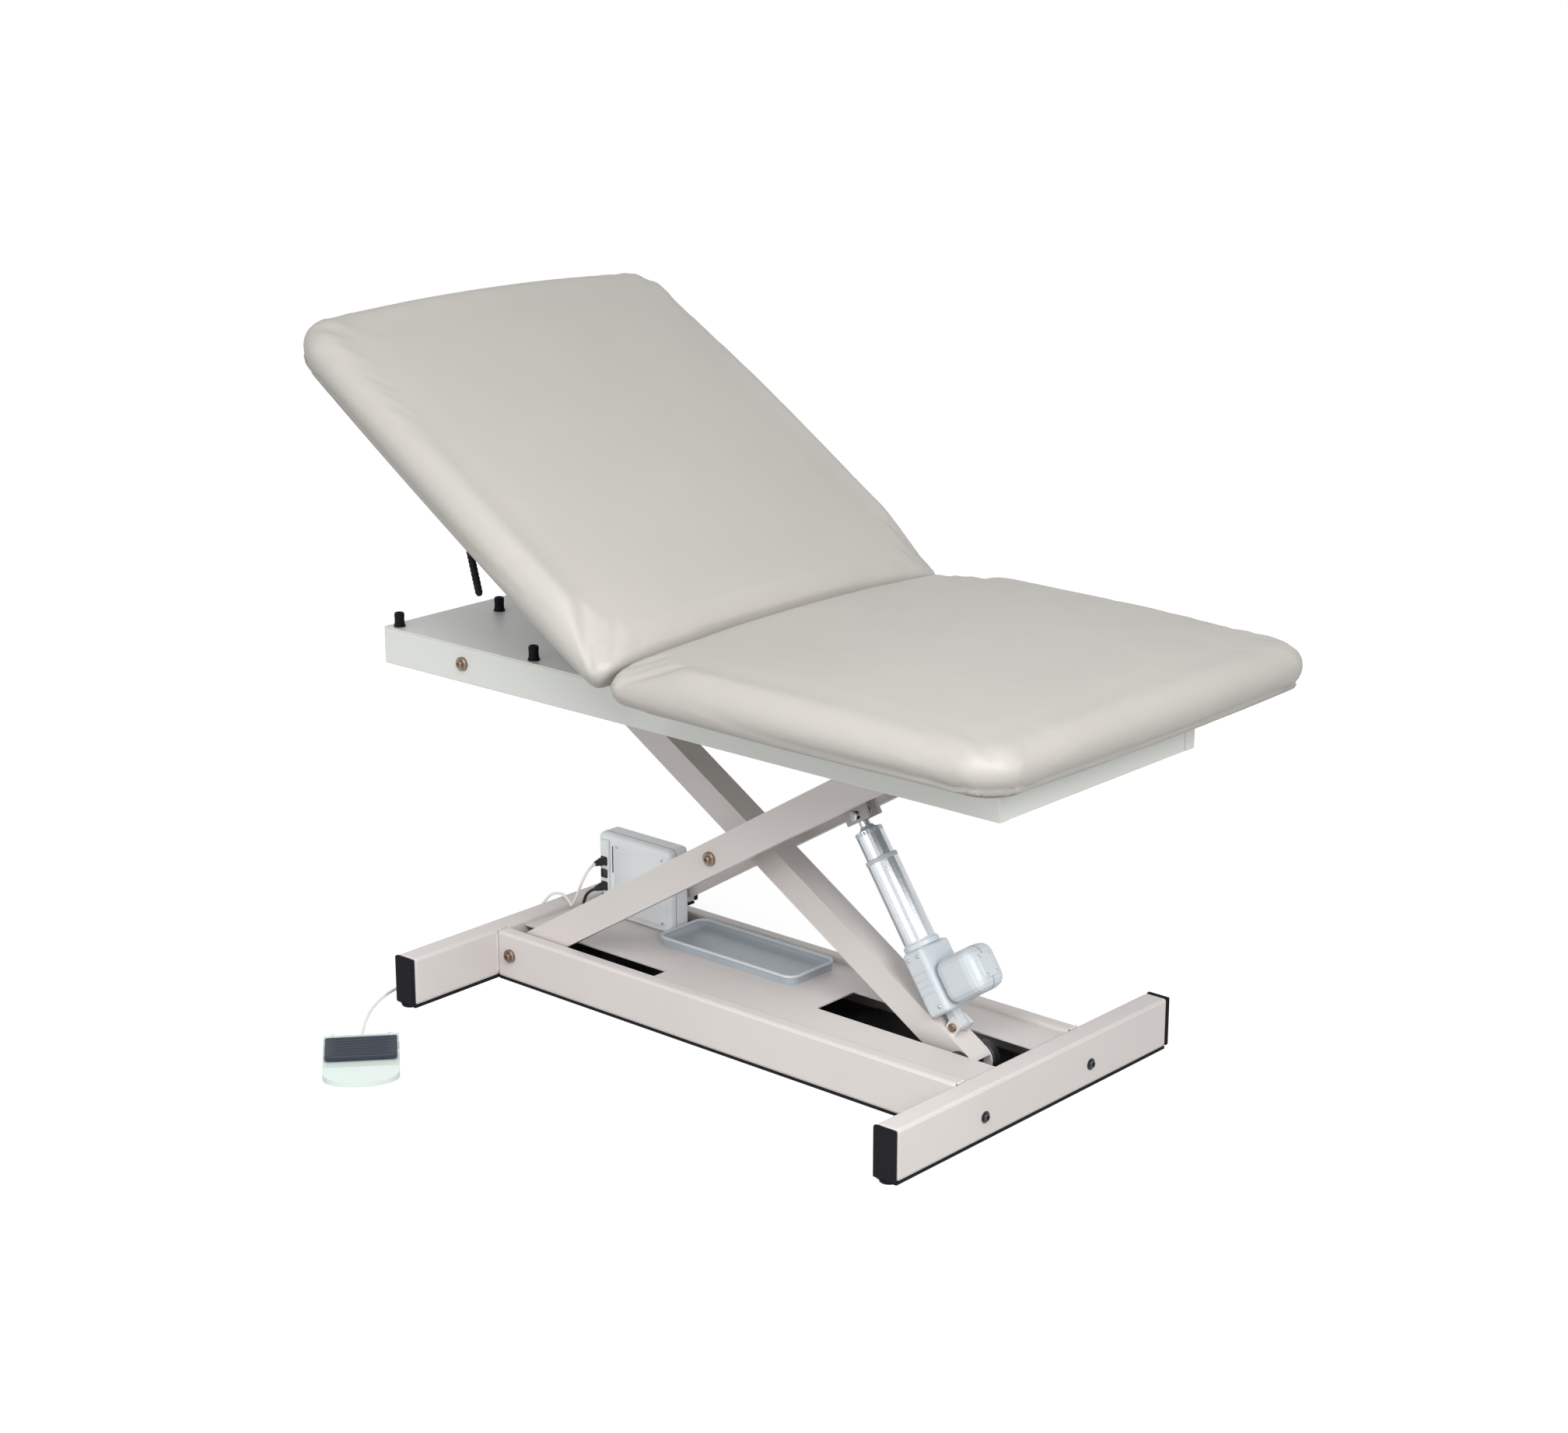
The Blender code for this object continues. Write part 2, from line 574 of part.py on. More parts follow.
def lift_cross_tube():
    """The tube between the outer legs, with two slotted lugs under it for the actuator's upper pin."""
    along = HALF_LEG + UPPER_PIN_ALONG
    half = OUTER_LEG_INNER_Y - SEAT_GAP
    tube = cylinder("lift_cross_tube", (along, -half, 0), (along, half, 0), CROSS_TUBE_RADIUS, LIFT, "base_paint")
    slot_radius = LIFT_PIN_RADIUS + LUG_SLOT_CLEARANCE
    lug_end = UPPER_PIN_BELOW + slot_radius + CHEEK_MARGIN / 2
    inner = ACTUATOR_EYE_HALF_WIDTH + CHEEK_GAP
    for side, sign in SIDES:
        faces = sorted((sign * inner, sign * (inner + CHEEK_THICKNESS)))
        join(tube, box(
            f"lift_lug_{side}", (along - LUG_WIDTH, faces[0], -lug_end),
            (along + LUG_WIDTH + LUG_SLOT_TRAVEL, faces[1], -CROSS_TUBE_RADIUS / 2), LIFT,
        ))
    slot_end = (along + LUG_SLOT_TRAVEL, -UPPER_PIN_BELOW - LUG_SLOT_DROP)
    slot = stadium((along, -UPPER_PIN_BELOW), slot_end, slot_radius)
    cut(tube, outline("lift_lug_slot", slot, -2 * inner - CHEEK_THICKNESS, 2 * inner + CHEEK_THICKNESS, LIFT))


def inner_leg():
    half = INNER_LEG_SIZE / 2
    points = stadium((-HALF_LEG, 0), (HALF_LEG, 0), half)
    leg = outline("inner_leg", points, -half, half, INNER, "base_paint")
    inside = half - LEG_WALL
    cut(leg, box(
        "inner_leg_inside", (-HALF_LEG - INNER_LEG_SIZE, -inside, -inside),
        (HALF_LEG + INNER_LEG_SIZE, inside, inside), INNER,
    ))
    for name, along, radius in (
        ("top", -HALF_LEG, SHAFT_RADIUS), ("middle", 0.0, SHAFT_RADIUS), ("roller", HALF_LEG, AXLE_RADIUS),
    ):
        cut(leg, bore(f"inner_leg_bore_{name}", (along, 0, 0), INNER_LEG_SIZE, radius, INNER))
    wheels = wheelset_profile(half + WHEEL_SIDE_GAP, WHEEL_WIDTH, LOWER_WHEEL_RADIUS, AXLE_RADIUS)
    turned("lower_rollers", wheels, INNER, (HALF_LEG, 0, 0), "nylon")
    cheek_low = half + SEAT_GAP
    inner = ACTUATOR_EYE_HALF_WIDTH + CHEEK_GAP
    outer = inner + CHEEK_THICKNESS
    pin_at = (LOWER_PIN_ALONG, LOWER_PIN_ABOVE)
    clevis = cylinder(
        "actuator_clevis", (pin_at[0], -outer - LIFT_PIN_OVERHANG, pin_at[1]),
        (pin_at[0], outer + LIFT_PIN_OVERHANG, pin_at[1]), ACTUATOR_PIN_RADIUS, INNER, "base_paint",
    )
    for side, sign in SIDES:
        faces = sorted((sign * inner, sign * outer))
        join(clevis, box(
            f"clevis_cheek_{side}", (pin_at[0] - CHEEK_MARGIN, faces[0], cheek_low),
            (pin_at[0] + CHEEK_MARGIN, faces[1], pin_at[1] + CHEEK_MARGIN), INNER,
        ))


# Lift actuator, built along the +X axis of its pivot, from the lower pin to the upper pin
def actuator():
    eye = ACTUATOR_EYE_HALF_WIDTH
    gearbox_end = GEARBOX_START + GEARBOX_LENGTH
    gearbox = box(
        "actuator_gearbox", (GEARBOX_START, -GEARBOX_HALF_WIDTH, -GEARBOX_MOTOR_SIDE),
        (gearbox_end, GEARBOX_HALF_WIDTH, GEARBOX_LEG_SIDE), ACTUATOR, "actuator_cover", GEARBOX_EDGE, 3,
    )
    neck_end = GEARBOX_START + GEARBOX_LENGTH / 2
    neck = box("gearbox_neck", (0, -eye, -0.8 * ACTUATOR_EYE_RADIUS), (neck_end, eye, 0.8 * ACTUATOR_EYE_RADIUS), ACTUATOR)
    ring = cylinder("gearbox_eye", (0, -eye, 0), (0, eye, 0), ACTUATOR_EYE_RADIUS, ACTUATOR)
    join(gearbox, neck, ring)
    cut(gearbox, bore("gearbox_eye_bore", (0, 0, 0), 2 * eye, ACTUATOR_PIN_RADIUS, ACTUATOR))
    motor_start = GEARBOX_START + MOTOR_START
    motor_side = GEARBOX_MOTOR_SIDE + SEAT_GAP
    box(
        "actuator_motor_cover", (motor_start, -MOTOR_HALF_WIDTH, -motor_side - MOTOR_REACH),
        (motor_start + MOTOR_LENGTH, MOTOR_HALF_WIDTH, -motor_side), ACTUATOR, "actuator_cover", MOTOR_EDGE, 4,
    )
    start = gearbox_end + SEAT_GAP
    end = ACTUATOR_LENGTH - LIFT_ROD_SHOWING
    tube = cylinder("actuator_tube", (start, 0, 0), (end, 0, 0), COVER_TUBE_RADIUS, ACTUATOR, "actuator_tube")
    cut(tube, cylinder(
        "actuator_tube_bore", (start + COVER_TUBE_SOLID, 0, 0), (end + LIFT_ROD_RADIUS, 0, 0),
        (LIFT_ROD_RADIUS + SEAT_GAP) / cos(pi / ROUND_SIDES), ACTUATOR,
    ))
    rod = cylinder(
        "lift_rod", (end - LIFT_ROD_INSIDE, 0, 0), (ACTUATOR_LENGTH - LIFT_NECK, 0, 0),
        LIFT_ROD_RADIUS, ACTUATOR, "chrome_rod",
    )
    pin_end = eye + CHEEK_GAP + CHEEK_THICKNESS + LIFT_PIN_OVERHANG
    at = ACTUATOR_LENGTH
    join(
        rod,
        cylinder(
            "lift_rod_neck", (at - LIFT_NECK - LIFT_NECK_RADIUS, 0, 0), (at - LIFT_EYE_RADIUS / 2, 0, 0),
            LIFT_NECK_RADIUS, ACTUATOR,
        ),
        cylinder("lift_rod_eye", (at, -eye, 0), (at, eye, 0), LIFT_EYE_RADIUS, ACTUATOR),
        cylinder("lift_rod_pin", (at, -pin_end, 0), (at, pin_end, 0), LIFT_PIN_RADIUS, ACTUATOR),
    )


# Top frame: side rails, end rails, two plates with a gap for the gas spring, bumpers and seat beams
def top_frame():
    x_low, x_high = FRAME_HEAD_X - PIVOT_X, FRAME_FOOT_X - PIVOT_X
    low, high = FRAME_BOTTOM - TOP_PIVOT_Z, FRAME_RAIL_TOP - TOP_PIVOT_Z
    inner = FRAME_HALF_WIDTH - FRAME_RAIL_WIDTH
    for side, sign in SIDES:
        faces = sorted((sign * inner, sign * FRAME_HALF_WIDTH))
        rail = square_tube(
            f"frame_side_{side}", (x_low, faces[0], low), (x_high, faces[1], high),
            0, "frame_paint", FRAME_WALL, 0.003, TOP,
        )
        cut(rail, bore(f"frame_bore_{side}", (0, sum(faces) / 2, 0), FRAME_RAIL_WIDTH, SHAFT_RADIUS, TOP))
    across = inner - SEAT_GAP
    for place, start in (("head", x_low), ("foot", x_high - FRAME_RAIL_WIDTH)):
        square_tube(
            f"frame_end_{place}", (start, -across, low), (start + FRAME_RAIL_WIDTH, across, high),
            1, "frame_paint", FRAME_WALL, 0.003, TOP,
        )
    turned(
        "top_pivot_shaft", shaft_profile(SHAFT_RADIUS, FRAME_HALF_WIDTH + SEAT_GAP),
        TOP, (0, 0, 0), "bronze_pin",
    )
    plate_low, plate_high = PLATE_BOTTOM - TOP_PIVOT_Z, FRAME_TOP - TOP_PIVOT_Z
    gap = PLATE_GAP_WIDTH / 2
    for side, near, far in (
        ("left", -FRAME_HALF_WIDTH, PLATE_GAP_Y - gap), ("right", PLATE_GAP_Y + gap, FRAME_HALF_WIDTH),
    ):
        box(f"frame_plate_{side}", (x_low, near, plate_low), (x_high, far, plate_high), TOP, "frame_paint")
    crease = CREASE_X - PIVOT_X
    stop_low, stop_high = plate_high + SEAT_GAP, SEAT_BOTTOM - TOP_PIVOT_Z - SEAT_GAP
    bumper_y = FRAME_HALF_WIDTH - BUMPER_INSET_Y
    bumpers = [("middle", *MIDDLE_BUMPER)]
    for place, back in zip(("hinge", "head"), BUMPER_BACK):
        bumpers += [(f"{place}_{side}", back, sign * bumper_y) for side, sign in SIDES]
    for place, back, y in bumpers:
        at = (crease - back, y)
        cylinder(
            f"bumper_{place}", (*at, stop_low), (*at, stop_high), BUMPER_RADIUS, TOP, "black_rubber", 20, 0.002,
        )
    for place, start in zip(("front", "rear"), BEAM_FROM_CREASE):
        box(
            f"seat_beam_{place}", (crease + start, -BEAM_HALF_LENGTH, stop_low),
            (crease + start + BEAM_WIDTH, BEAM_HALF_LENGTH, stop_high), TOP, "frame_paint", 0.003,
        )


# Pads
def pad_mesh(name, length, sign, low):
    """A crowned pad on a grid: x runs from the crease to the free end, which has rounded corners.

    Each half is a grid whose edge lies on the pad's outline at mid height. The surface rises from there
    on a quarter ellipse, as upholstery over a foam edge does. The top is crowned, half as much at the middle
    of a side as in the middle of the pad, and the free sides bow out.
    """
    half_width, half_thickness = PAD_WIDTH / 2, PAD_THICKNESS / 2
    columns, rows = 26, 20
    start = PAD_SETBACK
    middle_x = (start + length) / 2
    half_length = (length - start) / 2

    def plan(u, v):
        x, y = half_length * sin(pi / 2 * u), half_width * sin(pi / 2 * v)
        radius = PAD_CORNER if u > 0 else PAD_CREASE_CORNER
        into_x, into_y = abs(x) - (half_length - radius), abs(y) - (half_width - radius)
        if into_x > 0 and into_y > 0:
            a, b = into_x / radius, into_y / radius
            x += (radius * a * sqrt(1 - b * b / 2) - into_x) * (1 if x > 0 else -1)
            y += (radius * b * sqrt(1 - a * a / 2) - into_y) * (1 if y > 0 else -1)
        return x, y

    def inset(x, y):
        radius = PAD_CORNER if x > 0 else PAD_CREASE_CORNER
        into_x, into_y = abs(x) - (half_length - radius), abs(y) - (half_width - radius)
        if into_x > 0 and into_y > 0:
            return radius - hypot(into_x, into_y)
        return radius - max(into_x, into_y)

    bm = bmesh.new()
    for face in (1, -1):
        grid = bmesh.ops.create_grid(bm, x_segments=columns, y_segments=rows, size=1.0)["verts"]
        for vert in grid:
            x, y = plan(vert.co.x, vert.co.y)
            depth = min(max(inset(x, y), 0.0) / half_thickness, 1.0)
            across, along = y / half_width, x / half_length
            rise = half_thickness
            if face > 0:
                fade = min((x + half_length) / PAD_CREASE_FADE, 1.0)
                rise += PAD_CROWN * (1 - (along ** 2 + across ** 2) / 2) * fade * fade * (3 - 2 * fade)
            rise *= sqrt(1 - (1 - depth) ** 2)
            x += PAD_BOW * max(along, 0) ** 2 * (1 - across ** 2)
            y += PAD_BOW * across * (1 - along ** 2)
            vert.co = (sign * (middle_x + x), y, low + half_thickness + face * rise)
    bmesh.ops.remove_doubles(bm, verts=bm.verts, dist=0.00005)
    bmesh.ops.recalc_face_normals(bm, faces=bm.faces)
    mesh = from_bmesh(name, bm)
    mesh.shade_smooth()
    return mesh


def pad_and_board(place, length, sign, parent, hinge_x, drop):
    """A pad on its board. drop is the height of the parent's origin, hinge_x the crease in its frame."""
    board_low = SEAT_BOTTOM - drop
    pad_low = PAD_BOTTOM - drop
    hinge = HINGE_Z - drop
    mesh = pad_mesh(f"{place}_pad", length, sign, pad_low)
    mesh.transform(Matrix.Translation((hinge_x, 0, 0)))
    pad = add(f"{place}_pad", mesh, parent, "vinyl")
    notch_x = sorted((hinge_x - sign * HINGE_EAR_RADIUS, hinge_x + sign * HINGE_NOTCH_DEPTH))
    for side, way in SIDES:
        notch_y = sorted((way * (HINGE_Y - HINGE_NOTCH_HALF_WIDTH), way * (HINGE_Y + HINGE_NOTCH_HALF_WIDTH)))
        cut(pad, box(
            f"{place}_notch_{side}", (notch_x[0], notch_y[0], board_low),
            (notch_x[1], notch_y[1], hinge + HINGE_EAR_RADIUS + HINGE_EAR_RADIUS / 4), parent,
        ))
    ends = sorted((hinge_x + sign * BOARD_INSET, hinge_x + sign * (length - BOARD_INSET)))
    half = PAD_WIDTH / 2 - BOARD_INSET
    box(
        f"{place}_board", (ends[0], -half, board_low), (ends[1], half, board_low + BOARD_THICKNESS),
        parent, "board", 0.003,
    )


def hinge_leaf(place, side, way, sign, parent, hinge_x, drop, inboard):
    """A leaf under the board with an ear up to the hinge axis. The seat's leaf carries the pin."""
    hinge = HINGE_Z - drop
    leaf_high = SEAT_BOTTOM - drop - SEAT_GAP
    clear = SEAT_GAP / 2 + HINGE_EAR / 20
    step = -1 if inboard else 1
    ear = sorted((way * (HINGE_Y + step * clear), way * (HINGE_Y + step * (clear + HINGE_EAR))))
    leaf_y = sorted((way * (HINGE_Y + step * HINGE_EAR / 4), way * (HINGE_Y + step * HINGE_LEAF_WIDTH)))
    leaf_x = sorted((hinge_x - sign * HINGE_EAR_RADIUS / 2, hinge_x + sign * HINGE_LEAF_LENGTH))
    points = stadium((hinge_x, leaf_high - HINGE_LEAF_THICKNESS / 2), (hinge_x, hinge), HINGE_EAR_RADIUS)
    leaf = box(
        f"{place}_hinge_{side}", (leaf_x[0], leaf_y[0], leaf_high - HINGE_LEAF_THICKNESS),
        (leaf_x[1], leaf_y[1], leaf_high), parent, "plated_steel",
    )
    join(leaf, outline(f"{place}_ear_{side}", points, *ear, parent))
    pin_half = 2 * HINGE_EAR
    centre = (hinge_x, way * HINGE_Y, hinge)
    if inboard:
        join(leaf, cylinder(
            f"hinge_pin_{side}", (hinge_x, centre[1] - pin_half, hinge), (hinge_x, centre[1] + pin_half, hinge),
            HINGE_PIN_RADIUS, parent,
        ))
    else:
        cut(leaf, bore(f"hinge_bore_{side}", centre, pin_half, HINGE_PIN_RADIUS, parent))


def pads():
    pad_and_board("seat", SEAT_LENGTH, 1, TOP, CREASE_X - PIVOT_X, TOP_PIVOT_Z)
    pad_and_board("back", BACK_LENGTH, -1, BACK, 0.0, HINGE_Z)
    for side, way in SIDES:
        hinge_leaf("seat", side, way, 1, TOP, CREASE_X - PIVOT_X, TOP_PIVOT_Z, inboard=True)
        hinge_leaf("back", side, way, -1, BACK, 0.0, HINGE_Z, inboard=False)


# Gas spring between the top frame and the backrest
def gas_spring():
    eye = SPRING_EYE_HALF_WIDTH
    body = cylinder("gas_spring_body", (SPRING_EYE_RADIUS / 2, 0, 0), (SPRING_BODY_LENGTH, 0, 0),
                    SPRING_RADIUS, SPRING, "spring_black")
    join(body, cylinder("spring_low_eye", (0, -eye, 0), (0, eye, 0), SPRING_EYE_RADIUS, SPRING))
    bore_start = SPRING_BODY_LENGTH - SPRING_ROD_INSIDE - SPRING_BORE_ROOM
    cut(
        body,
        bore("spring_low_bore", (0, 0, 0), 2 * eye, SPRING_PIN_RADIUS, SPRING),
        cylinder("spring_bore", (bore_start, 0, 0), (SPRING_BODY_LENGTH + SPRING_RADIUS, 0, 0),
                 (SPRING_ROD_RADIUS + SEAT_GAP) / cos(pi / ROUND_SIDES), SPRING),
    )
    rod = cylinder("gas_spring_rod", (SPRING_BODY_LENGTH - SPRING_ROD_INSIDE, 0, 0), (SPRING_LENGTH, 0, 0),
                   SPRING_ROD_RADIUS, SPRING, "chrome_rod")
    at = SPRING_LENGTH
    join(
        rod,
        cylinder("spring_high_eye", (at, -eye, 0), (at, eye, 0), SPRING_EYE_RADIUS, SPRING),
        cylinder("spring_high_pin", (at, -SPRING_PIN_HALF_LENGTH, 0), (at, SPRING_PIN_HALF_LENGTH, 0),
                 SPRING_PIN_RADIUS, SPRING),
    )
    cheek_in = eye + SPRING_CHEEK_GAP
    cheek_out = cheek_in + SPRING_CHEEK
    pin_x, pin_z = SPRING_LOW[0] - PIVOT_X, SPRING_LOW[1] - TOP_PIVOT_Z
    plate_high = PLATE_BOTTOM - SEAT_GAP - TOP_PIVOT_Z
    plate_low = plate_high - SPRING_CHEEK
    start = pin_x + SPRING_BRACKET_START
    bracket = box(
        "spring_lower_bracket", (start, SPRING_Y - SPRING_BRACKET_HALF_WIDTH, plate_low),
        (start + SPRING_BRACKET_LENGTH, SPRING_Y + SPRING_BRACKET_HALF_WIDTH, plate_high), TOP, "frame_paint",
    )
    for side, sign in SIDES:
        faces = sorted((SPRING_Y + sign * cheek_in, SPRING_Y + sign * cheek_out))
        corners = [
            (pin_x - SPRING_EYE_RADIUS, pin_z - SPRING_EYE_RADIUS),
            (pin_x + SPRING_EYE_RADIUS, pin_z - SPRING_EYE_RADIUS),
            (start + SPRING_BRACKET_LENGTH, plate_high - SPRING_CHEEK / 2),
            (start, plate_high - SPRING_CHEEK / 2),
            (pin_x - SPRING_EYE_RADIUS, pin_z + SPRING_EYE_RADIUS),
        ]
        join(bracket, outline(f"spring_low_cheek_{side}", corners, *faces, TOP))
    join(bracket, cylinder(
        "spring_low_pin", (pin_x, SPRING_Y - cheek_in - SPRING_CHEEK / 2, pin_z),
        (pin_x, SPRING_Y + cheek_in + SPRING_CHEEK / 2, pin_z), SPRING_PIN_RADIUS, TOP,
    ))
    board_low = SEAT_BOTTOM - HINGE_Z - SEAT_GAP
    window = SPRING_PIN_RADIUS + SPRING_SLOT_CLEARANCE
    low = -SPRING_DROP - window
    foot_end, head_end = -SPRING_ALONG + window, -SPRING_ALONG - SPRING_SLOT_ALONG - window
    margin = SPRING_EYE_RADIUS
    bracket = box(
        "spring_upper_bracket", (head_end - margin, SPRING_Y - cheek_out, board_low - SPRING_CHEEK),
        (foot_end + margin, SPRING_Y + cheek_out, board_low), BACK, "plated_steel",
    )
    for side, sign in SIDES:
        faces = sorted((SPRING_Y + sign * cheek_in, SPRING_Y + sign * cheek_out))
        join(bracket, box(
            f"spring_high_cheek_{side}", (head_end - margin, faces[0], low - margin / 2),
            (foot_end + margin, faces[1], board_low - SPRING_CHEEK / 2), BACK,
        ))
    cut(bracket, box(
        "spring_window", (head_end, SPRING_Y - 2 * cheek_out, low),
        (foot_end, SPRING_Y + 2 * cheek_out, -SPRING_DROP + SPRING_SLOT_UP + window), BACK,
    ))


# Control box with its socket strip, and the tray, all on the deck
def electrics():
    floor = DECK_TOP + SEAT_GAP
    far_y = BOX_NEAR_Y + BOX_DEPTH
    box(
        "control_box", (BOX_HEAD_X, BOX_NEAR_Y, floor), (BOX_HEAD_X + BOX_LENGTH, far_y, floor + BOX_HEIGHT),
        BASE, "control_box", BOX_EDGE, 4,
    )
    strip_x = BOX_HEAD_X + SOCKET_STRIP_MARGIN
    strip_y = BOX_NEAR_Y - SEAT_GAP
    box(
        "control_box_sockets", (strip_x, strip_y - SOCKET_STRIP_DEPTH, floor + SOCKET_STRIP_MARGIN),
        (strip_x + SOCKET_STRIP_WIDTH, strip_y, floor + BOX_HEIGHT - SOCKET_STRIP_MARGIN),
        BASE, "control_box", 0.0015,
    )
    tray_far = TRAY_NEAR_Y + TRAY_WIDTH
    tray = box(
        "deck_tray", (TRAY_HEAD_X, TRAY_NEAR_Y, floor), (TRAY_HEAD_X + TRAY_LENGTH, tray_far, floor + TRAY_HEIGHT),
        BASE, "tray_grey",
    )
    corners = tray.modifiers.new("upright_corners", "BEVEL")
    corners.width = TRAY_CORNER
    corners.segments = 6
    corners.limit_method = "WEIGHT"
    weights = tray.data.attributes.new("bevel_weight_edge", "FLOAT", "EDGE")
    for edge in tray.data.edges:
        first, second = (tray.data.vertices[i].co for i in edge.vertices)
        weights.data[edge.index].value = 1.0 if abs(first.z - second.z) > TRAY_HEIGHT / 2 else 0.0
    inner = TRAY_CORNER / 4
    cut(tray, box(
        "tray_inside", (TRAY_HEAD_X + TRAY_WALL, TRAY_NEAR_Y + TRAY_WALL, floor + TRAY_WALL),
        (TRAY_HEAD_X + TRAY_LENGTH - TRAY_WALL, tray_far - TRAY_WALL, floor + 2 * TRAY_HEIGHT), BASE,
        bevel=TRAY_CORNER - inner, segments=4,
    ))


# Foot pedal: its x axis runs from the front lip to the hood at the back
def pedal():
    half = PEDAL_DEPTH / 2
    rocker_front = half - PEDAL_HOOD_DEPTH - 2 * ROCKER_END_GAP - ROCKER_DEPTH
    fulcrum = ROCKER_END_GAP / 2
    points = [
        (-half - PEDAL_NOSE, 0), (half, 0), (half, PEDAL_HOOD - PEDAL_LIP), (half - PEDAL_LIP, PEDAL_HOOD),
        (half - PEDAL_HOOD_DEPTH, PEDAL_HOOD), (half - PEDAL_HOOD_DEPTH, PEDAL_DECK),
        (ROCKER_AXIS_X + fulcrum, PEDAL_DECK), (ROCKER_AXIS_X + fulcrum, ROCKER_BOTTOM - SEAT_GAP),
        (ROCKER_AXIS_X - fulcrum, ROCKER_BOTTOM - SEAT_GAP), (ROCKER_AXIS_X - fulcrum, PEDAL_DECK),
        (rocker_front, PEDAL_DECK), (rocker_front - PEDAL_DECK, PEDAL_DECK), (-half - PEDAL_NOSE, PEDAL_LIP),
    ]
    base = outline("pedal_base", points, -PEDAL_WIDTH, PEDAL_WIDTH, PEDAL, "pedal_white")
    front = [radians(90 + 7.5 * i) for i in range(25)]
    plan = [(-half + PEDAL_NOSE * cos(a), PEDAL_WIDTH / 2 * sin(a)) for a in front]
    plan += [(PEDAL_DEPTH, -PEDAL_WIDTH / 2), (PEDAL_DEPTH, PEDAL_WIDTH / 2)]
    boolean(base, outline("pedal_plan", plan, -PEDAL_HOOD, 2 * PEDAL_HOOD, PEDAL, upright=False), "INTERSECT")
    box(
        "pedal_rocker", (-ROCKER_DEPTH / 2, -ROCKER_WIDTH / 2, 0),
        (ROCKER_DEPTH / 2, ROCKER_WIDTH / 2, ROCKER_THICKNESS), ROCKER, "pedal_navy", 0.003,
    )


# Cords
def smooth_route(points, step):
    """Points about a step apart on a Catmull-Rom curve through the route's points."""
    points = [Vector(p) for p in points]
    padded = [2 * points[0] - points[1], *points, 2 * points[-1] - points[-2]]
    route = []
    for a, b, c, d in zip(padded, padded[1:], padded[2:], padded[3:]):
        count = max(1, round((c - b).length / step))
        for i in range(count):
            t = i / count
            route.append(0.5 * (2 * b + (c - a) * t + (2 * a - 5 * b + 4 * c - d) * t ** 2
                                + (3 * b - a - 3 * c + d) * t ** 3))
    return route + [points[-1]]


def cord(name, points, radius, finish):
    curve = bpy.data.curves.new(name, "CURVE")
    curve.dimensions = "3D"
    curve.bevel_depth = radius
    curve.bevel_resolution = 2
    curve.use_fill_caps = True
    route = smooth_route(points, CORD_STEP)
    spline = curve.splines.new("POLY")
    spline.points.add(len(route) - 1)
    for point, place in zip(spline.points, route):
        point.co = (*place, 1)
    made = bpy.data.objects.new(name, curve)
    made.parent = BASE
    PARTS.objects.link(made)
    curve.materials.append(material(name, finish))


def cords():
    back = Vector((cos(PEDAL_TURN), sin(PEDAL_TURN), 0))
    start = Vector((*PEDAL_CENTRE, 0.014)) + (PEDAL_DEPTH / 2 + SEAT_GAP) * back
    socket = Vector((
        BOX_HEAD_X + SOCKET_STRIP_MARGIN + SOCKET_STRIP_WIDTH / 2,
        BOX_NEAR_Y - 2 * SEAT_GAP - SOCKET_STRIP_DEPTH - SEAT_GAP, DECK_TOP + SEAT_GAP,
    ))
    lie = CORD_RADIUS * 1.15
    plug = socket + Vector((0, 0, 0.126))
    cord("pedal_cord", [
        start, start + 0.012 * back, start + 0.024 * back, (0.048, -0.585, 0.010), (0.005, -0.540, 0.006),
        (-0.042, -0.480, lie), (-0.078, -0.405, lie), (-0.091, -0.315, lie), (-0.090, -0.220, lie),
        (-0.084, -0.130, lie), (-0.074, -0.060, 0.010), (-0.064, -0.015, 0.042), (-0.052, 0.010, 0.084),
        (-0.030, 0.024, 0.116), (0.002, 0.026, 0.124), (0.034, 0.016, 0.118), (0.064, -0.008, 0.122),
        (0.092, -0.022, 0.148), (0.110, -0.022, 0.186), (0.118, -0.008, 0.215),
        plug + Vector((0, -0.024, 0)), plug + Vector((0, -0.012, 0)), plug,
    ], CORD_RADIUS, "cord_cream")
    plug = socket + Vector((0, 0, 0.070))
    deck_end = Vector((0.078, 0.014, DECK_TOP + 3 * SEAT_GAP))
    cord("motor_lead", [
        plug, plug + Vector((0, -0.012, 0)), plug + Vector((-0.002, -0.026, -0.001)),
        (0.108, 0.009, 0.162), (0.093, 0.010, 0.149), (0.082, 0.013, 0.130),
        deck_end + Vector((0, 0, 0.012)), deck_end,
    ], LEAD_RADIUS, "lead_black")


base()
outer_legs()
lift_cross_tube()
inner_leg()
actuator()
top_frame()
pads()
gas_spring()
electrics()
pedal()
cords()
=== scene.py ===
"""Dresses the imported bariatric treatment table: upholstered pads, cords, fixings, finishes and a studio stage."""

import json
from math import cos, pi, radians, sin, tan

